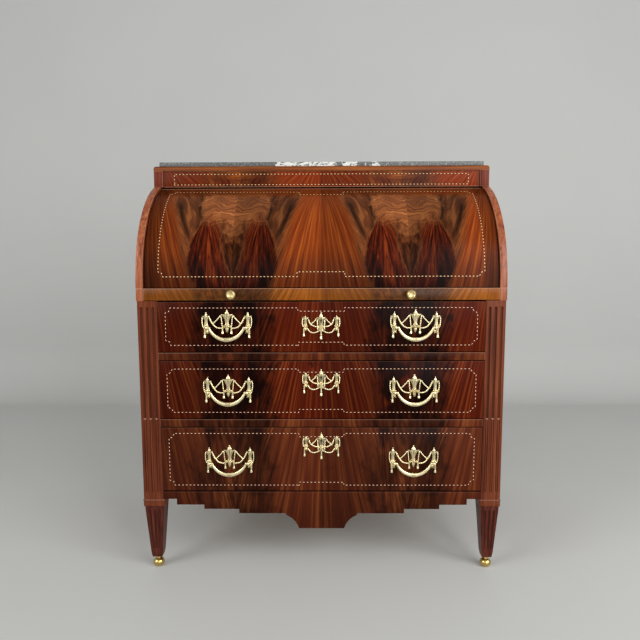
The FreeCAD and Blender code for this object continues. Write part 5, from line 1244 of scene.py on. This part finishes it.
def urn_profile(rim, rim_half, waist, waist_half, tip, foot, lid_half):
    """Half widths and heights of a chalice-shaped urn with a pointed lid, from its foot up."""
    profile = [(waist_half * 1.5, foot), (waist_half * 1.4, foot + 1.2), (waist_half, waist)]
    for rise, width in ((0.2, 0.29), (0.4, 0.38), (0.58, 0.51), (0.77, 0.66), (0.92, 0.78)):
        profile.append((max(waist_half, rim_half * width), waist + (rim - waist) * rise))
    profile += [(rim_half * 0.8, rim - 2.0), (rim_half, rim - 1.6), (rim_half, rim + 1.4),
                (lid_half * 1.1, rim + 1.9), (lid_half, rim + 2.2)]
    for rise, width in ((0.3, 0.72), (0.55, 0.42), (0.68, 0.2), (0.8, 0.3), (0.93, 0.22)):
        profile.append((lid_half * width, rim + 2 + (tip - rim - 2) * rise))
    return profile + [(0.3, tip)]


HANDLE_URN = urn_profile(rim=31, rim_half=17.7, waist=7.5, waist_half=4.4, tip=45, foot=1, lid_half=6.8)
HANDLE_VASE = urn_profile(rim=26.5, rim_half=11.5, waist=8, waist_half=4.4, tip=38.5, foot=-4, lid_half=4.2)
HANDLE_BUD = ((0.5, -20), (2.6, -17), (4.6, -12), (5.0, -8), (3.6, -4))
LOCK_URN = urn_profile(rim=20.6, rim_half=13.2, waist=-9, waist_half=5.8, tip=36.5, foot=-17.5, lid_half=5.2)
LOCK_VASE = urn_profile(rim=20, rim_half=9.8, waist=4, waist_half=4.2, tip=26.5, foot=-6, lid_half=3.4)
PIN_DROP = 5            # how far under a handle plate's level its bail turns
# radius and distance along the axis, up the ear that holds the bail's pin and out along its stem
EAR = ((2.4, 0), (4.6, 0), (5.6, 0.7), (6.2, 1.6), (6.2, 4.4), (5.6, 5.3), (4.6, 6), (2.4, 6))
EAR_STEM = ((5.4, 0), (4.4, 2.0), (3.0, 5.0), (2.9, 8.0), (3.2, 9.0))


def handle_plate(bm, x, z):
    """One cast plate: a draped urn between two end vases, garlands, tassels and the bail's ears."""
    relief(bm, x, z, HANDLE_URN, 0.42, lobes=5, swell=0.18, wax_and_shade=0.15)
    rosette(bm, x, z - 2, 6.2, 6.0, 6)
    for sign in (-1, 1):
        rosette(bm, x + sign * 9, z - 3, 4.6, 4.4, 5)
    relief(bm, x, z, HANDLE_BUD, 0.8, lobes=4, swell=0.25)
    for sign in (-1, 1):
        garland(bm, x, z, sign, [(16.5, 29), (14.8, 15), (13.2, -3)], 1.6, beads=6)
        tassel(bm, x + sign * 12.5, z - 3, z - 23, 3.7)
        vase = x + sign * 59
        relief(bm, vase, z, HANDLE_VASE, 0.5, lobes=4, swell=0.2, wax_and_shade=0.12)
        rosette(bm, vase, z - 5.5, 9.2, 5.5, 8)
        for lean in (-28, 0, 28):
            leaf_spray(bm, vase, z - 10, 15, 4.0, lean)
        tassel(bm, x + sign * 62.5, z - 10, z - 34.5, 3.9)
        garland(bm, x, z, sign, [(69, 25), (69.6, 10), (67.5, -5)], 1.7, beads=6)
        garland(bm, x, z, sign, [(17.5, 29.5), (26, 18.5), (39, 5.5)], 1.85)
        garland(bm, x, z, sign, [(50, 25.5), (44, 12), (34, -1.5), (24, -6.2), (12, -6.8)], 2.35, beads=13)
        pin = Vector((x + sign * 56, FACE - 13, z - PIN_DROP))
        turned(bm, pin - Vector((3, 0, 0)), (1, 0, 0), EAR, 24)
        turned(bm, (pin.x, FACE - 0.2, pin.z), OUT, EAR_STEM, 20)


SWAG_OUTER, SWAG_INNER = (52.5, 40), (45.2, 28)     # half width and drop of a bail's two edges
SWAG_THICK = 3.5                                    # half its thickness from front to back
SWAG_LEAVES = 13                                    # leaves on each half of it
SWAG_TIE = 0.13                                     # share of each half that the tie covers
BAIL_PIN = ((1.0, 0), (3.0, 0.2), (3.5, 1.0), (3.5, 5.0), (3.0, 6.0), (1.9, 6.1), (1.9, 12.6), (1.4, 13.0))


def bail(bm, x, y, z):
    """A swinging handle cast as a swag of leaves, deep and tied at the middle, on two pins."""
    def swag(half, drop, share):
        radius = (half ** 2 + drop ** 2) / (2 * drop)
        angle = math.acos(1 - drop / radius) * share
        return Vector((x + radius * math.sin(angle), y, z - drop + radius * (1 - math.cos(angle))))

    rings, shade = [], []
    count, steps = 72, 18
    for i in range(count + 1):
        share = -1 + 2 * i / count
        outer, inner = swag(*SWAG_OUTER, share), swag(*SWAG_INNER, share)
        middle, reach = (outer + inner) / 2, (outer - inner) / 2
        tied = abs(share) < SWAG_TIE
        leaf_part = (abs(share) * SWAG_LEAVES) % 1.0
        size = 1.0 if tied else 1 - 0.10 * leaf_part
        ring, dark = [], []
        for k in range(steps):
            angle = 2 * math.pi * k / steps
            crease = abs(math.sin(2.5 * angle))
            fold = size * (1.0 if tied else 1 - 0.07 * crease)
            ring.append(middle + reach * (math.cos(angle) * fold)
                        + OUT * (SWAG_THICK * math.sin(angle) * fold))
            # the tie's grooves and the folds between leaves are darkened as wax and painted shade
            if tied:
                dark.append(0.95 if i % 2 and abs(math.sin(angle) - 0.85) < 0.2 else 0.1)
            else:
                dark.append(0.7 * max(0.0, leaf_part - 0.55) + 0.25 * crease)
        rings.append(ring)
        shade.append(dark)
    loft(bm, rings, shade)
    for sign in (-1, 1):
        turned(bm, (x + sign * 46.4, y, z), (sign, 0, 0), BAIL_PIN, 20)


def escutcheon(bm, z):
    """The keyhole plate: an urn between two vases, with garlands and tassels."""
    relief(bm, 0, z, LOCK_URN, 0.36, lobes=5, swell=0.15, wax_and_shade=0.3)
    rosette(bm, 0, z - 6, 6.4, 4.6, 6)
    for sign in (-1, 1):
        rosette(bm, sign * 9, z - 5, 4.2, 3.6, 5)
        garland(bm, 0, z, sign, [(11, 16), (10, 4), (9.5, -4), (9.5, -16)], 1.8, beads=8)
        vase = sign * 44
        relief(bm, vase, z, LOCK_VASE, 0.45, lobes=4, swell=0.2, wax_and_shade=0.35)
        rosette(bm, vase, z - 3, 6.4, 4.2, 6)
        for lean in (-26, 0, 26):
            leaf_spray(bm, vase, z - 6, 12, 3.4, lean, 2.2)
        tassel(bm, sign * 48.5, z - 8, z - 32, 3.5)
        garland(bm, 0, z, sign, [(51.5, 19), (52.6, 6), (51, -5)], 1.7, beads=6)
        garland(bm, 0, z, sign, [(13.5, 19), (19, 11), (29, 2.5)], 1.9)
        garland(bm, 0, z, sign, [(35.5, 17), (31.5, 5), (22, -2), (12, -5)], 2.1)
        garland(bm, 0, z, sign, [(39, -8), (31, -19), (19, -21.5), (5, -16.5)], 2.0)
    tassel(bm, 0, z - 16, z - 40, 4.2)


KEYHOLE_RISE = 10.5     # from the level of the keyhole plate up to the keyhole


def keyhole(bm, z):
    """A dark keyhole, a round over a slot, set into the urn."""
    outline = arc((0, 2.8), 3.1, -62, 242, 20) + [(-1.4, -5.6), (1.4, -5.6)]
    before = len(bm.faces)
    slab(bm, [(px, z + KEYHOLE_RISE + pz) for px, pz in outline], FACE - 1, FACE - 5.6, "y")
    bm.faces.ensure_lookup_table()
    for face in bm.faces[before:]:
        face.material_index = 1


KEY_DROP = 37           # from the top of the keyhole plate's solid down to the plate's level
for level in LEVELS:
    bm = new_casting()
    for side in ("left", "right"):
        pivot = Vector(JOINTS[f"{level}_{side}_bail_swing"]["pos_m"]) / MM
        handle_plate(bm, pivot.x, pivot.z + PIN_DROP)
        swinging = new_casting()
        bail(swinging, pivot.x, pivot.y, pivot.z)
        finish(swinging, f"{level}_{side}_swag_bail", [BRASS], f"{level}_{side}_bail",
               (f"{level}_{side}_bail",), sharp=60)
    finish(bm, f"{level}_cast_handle_plates", [BRASS], f"{level}_drawer",
           (f"{level}_handle_plates",), sharp=50)
    key_level = edges_mm(f"{level}_escutcheon")[1].z - KEY_DROP
    bm = new_casting()
    escutcheon(bm, key_level)
    keyhole(bm, key_level)
    finish(bm, f"{level}_cast_escutcheon", [BRASS, IRON], f"{level}_drawer",
           (f"{level}_escutcheon",), sharp=50)

KNOB_RADIUS = 14
# radius, distance out from the face and how dark as wax and painted shade, from the knob's foot to the middle
# of its dished end
KNOB = ((9.5, 0, 0.6), (9.5, 1.2, 0.2), (6.4, 2.4, 0.4), (5.4, 5, 0.5), (5.4, 10.5, 0.5), (8, 12.6, 0.3),
        (12.6, 14.6, 0), (KNOB_RADIUS, 17, 0), (KNOB_RADIUS, 19.6, 0), (13.2, 21.6, 0), (11.4, 23.8, 0),
        (9.9, 25.4, 0), (9.0, 26.0, 0), (8.2, 25.5, 0.15), (7.2, 23.9, 0.35), (4.5, 23.2, 0.2),
        (0, 23.0, 0.2))
bm = new_casting()
knob_low, knob_high = edges_mm("slide_knobs")
for sign in (-1, 1):
    centre = Vector((sign * (knob_high.x - KNOB_RADIUS), FACE, (knob_low.z + knob_high.z) / 2))
    turned(bm, centre, OUT, [(radius, out) for radius, out, dark in KNOB], 40,
           [dark for radius, out, dark in KNOB])
finish(bm, "turned_slide_knobs", [KNOB_BRASS], "slide", ("slide_knobs",), sharp=45)


# Tooling and dovetails

GILT_LINES = ((14, 2.2), (19, 0.9))     # distance in from the leather's edge, and width
GILT_RISE, GILT_SINK = 0.12, -0.1       # levels of a gilt line's top and foot over the leather


def build_tooling():
    """Two gilt lines tooled round the leather, a broad one and a fine one."""
    low, high = edges_mm("leather_inset")
    middle, half = (low + high) / 2, (high - low) / 2
    bm = new_casting()
    for inset, width in GILT_LINES:
        inner = inset + width
        section = ((inset, GILT_SINK), (inset, GILT_RISE), (inner, GILT_RISE), (inner, GILT_SINK))
        corners = []
        for sign_x, sign_y in ((-1, -1), (1, -1), (1, 1), (-1, 1)):
            corner = []
            for across, rise in section:
                x, y = middle.x + sign_x * (half.x - across), middle.y + sign_y * (half.y - across)
                corner.append(bm.verts.new((x, y, high.z + rise)))
            corners.append(corner)
        for here, there in zip(corners, corners[1:] + corners[:1]):
            for i in range(4):
                bm.faces.new((here[i], there[i], there[(i + 1) % 4], here[(i + 1) % 4]))
    finish(bm, "leather_gilt_lines", [BRASS], "slide")


DOVETAILS, DOVETAIL_LENGTH = 5, 13
DOVETAIL_ROOT, DOVETAIL_TIP = 0.18, 0.1     # half widths at its two ends, as shares of the pitch


def build_dovetails(level):
    """Dovetail pins of a drawer's front, seen on the outer faces of its two sides."""
    low, high = edges_mm(f"{level}_drawer_box")
    start = edges_mm(f"{level}_drawer_front")[1].y
    pitch = (high.z - low.z) / DOVETAILS
    root, tip = DOVETAIL_ROOT * pitch, DOVETAIL_TIP * pitch
    near, far = start + 0.3, start + DOVETAIL_LENGTH
    bm = bmesh.new()
    for sign, face in ((-1, low.x), (1, high.x)):
        for i in range(DOVETAILS):
            middle = low.z + (i + 0.5) * pitch
            pin = [(near, middle - root), (far, middle - tip), (far, middle + tip), (near, middle + root)]
            slab(bm, pin, face - sign * 0.3, face + sign * 0.08, "x")
    finish(bm, f"{level}_drawer_pins", [POST_WOOD], f"{level}_drawer")


build_tooling()
for level in LEVELS:
    build_dovetails(level)


# Solids that keep their own shape

KEPT = {
    OAK: ["drawer_runners", "slide_bed"] + [f"{level}_drawer_box" for level in LEVELS],
    OAK_ACROSS: ["bottom_board"] + [f"{level}_drawer_bottom" for level in LEVELS],
    SIDE_WOOD: ["nest_case", "nest_dividers"],
    CROSS_WOOD: ["nest_drawer_left", "nest_drawer_right"],
    IRON: ["left_quadrant_arm", "right_quadrant_arm", "slide_brackets", "pivot_pins"]
    + [f"{level}_{piece}" for level in LEVELS for piece in ("lock", "lock_bolt")],
}
for material, names in KEPT.items():
    for name in names:
        NODES[name].data.materials.clear()
        NODES[name].data.materials.append(material)


# Studio

def plain_surface(name, colour):
    """Matt painted surface with the faintest unevenness, in clouds about 670 mm across."""
    material, tree, shader = new_finish(name, Roughness=0.85)
    where = add(tree, "ShaderNodeTexCoord").outputs["Object"]
    cloud = add(tree, "ShaderNodeTexNoise", {"Vector": where, "Scale": 1.5, "Detail": 2.0})
    shade = add(tree, "ShaderNodeMapRange", {0: cloud, 3: 0.97, 4: 1.03})
    tint = add(tree, "ShaderNodeHueSaturation", {"Color": colour, "Value": shade})
    feed(tree, shader, {"Base Color": tint})
    return material


# place and aim in metres, width, height and power of each lamp
LAMPS = (("key_softbox", (3.0, -2.3, 2.1), (0.1, 0, 0.7), 2.0, 2.2, 82),
         ("fill_softbox", (-3.0, -2.3, 2.1), (0, 0, 0.7), 2.0, 2.2, 64),
         ("front_softbox", (0.0, -4.6, 1.9), (0, 0, 0.7), 3.6, 2.2, 26),
         ("sheen_softbox", (1.6, -3.2, 1.8), (0.5, -0.28, 1.0), 0.8, 3.2, 45))


def build_studio():
    """A pale floor that sweeps up into a wall, four soft lamps and a grey world, all in metres."""
    bm = bmesh.new()
    outline = [(-9.0, 0), (1.6, 0)] + arc((1.6, 0.35), 0.35, -90, 0, 16) + [(1.95, 4.5)]
    left, right = ([bm.verts.new((x, y, z)) for y, z in outline] for x in (-9, 9))
    for i in range(len(outline) - 1):
        face = bm.faces.new((left[i], right[i], right[i + 1], left[i + 1]))
        face.smooth = True
    mesh = bpy.data.meshes.new("studio_sweep")
    bm.to_mesh(mesh)
    bm.free()
    mesh.materials.append(plain_surface("pale_paper_sweep", "#c0c1bf"))
    sweep = bpy.data.objects.new("studio_sweep", mesh)
    bpy.context.scene.collection.objects.link(sweep)
    for name, spot, aim, width, height, power in LAMPS:
        lamp = bpy.data.lights.new(name, "AREA")
        lamp.shape = "RECTANGLE"
        lamp.size, lamp.size_y = width, height
        lamp.energy = power
        holder = bpy.data.objects.new(name, lamp)
        holder.location = spot
        holder.rotation_euler = (Vector(aim) - Vector(spot)).to_track_quat("-Z", "Y").to_euler()
        bpy.context.scene.collection.objects.link(holder)
    world = bpy.data.worlds.new("grey_room")
    world.use_nodes = True
    feed(world.node_tree, world.node_tree.nodes["Background"], {"Color": "#e8e7e4", "Strength": 0.5})
    bpy.context.scene.world = world


CAMERA_SPOT = (0.0105, -1.820, 0.9025)
CAMERA_TIP, CAMERA_TURN, CAMERA_ROLL = -5.92, 0.5, -0.16     # degrees


def build_camera():
    """The photograph's viewpoint: straight on, a little above the slide, tipped slightly down."""
    camera = bpy.data.cameras.new("front_view")
    camera.sensor_width = 36
    camera.lens = 30.94
    holder = bpy.data.objects.new("front_view", camera)
    holder.location = CAMERA_SPOT
    tipped = Euler((math.radians(90 + CAMERA_TIP), 0, math.radians(CAMERA_TURN))).to_matrix()
    holder.rotation_euler = (tipped @ Matrix.Rotation(math.radians(CAMERA_ROLL), 3, "Z")).to_euler()
    bpy.context.scene.collection.objects.link(holder)
    bpy.context.scene.camera = holder


build_studio()
build_camera()
bpy.context.scene.view_settings.view_transform = "Standard"
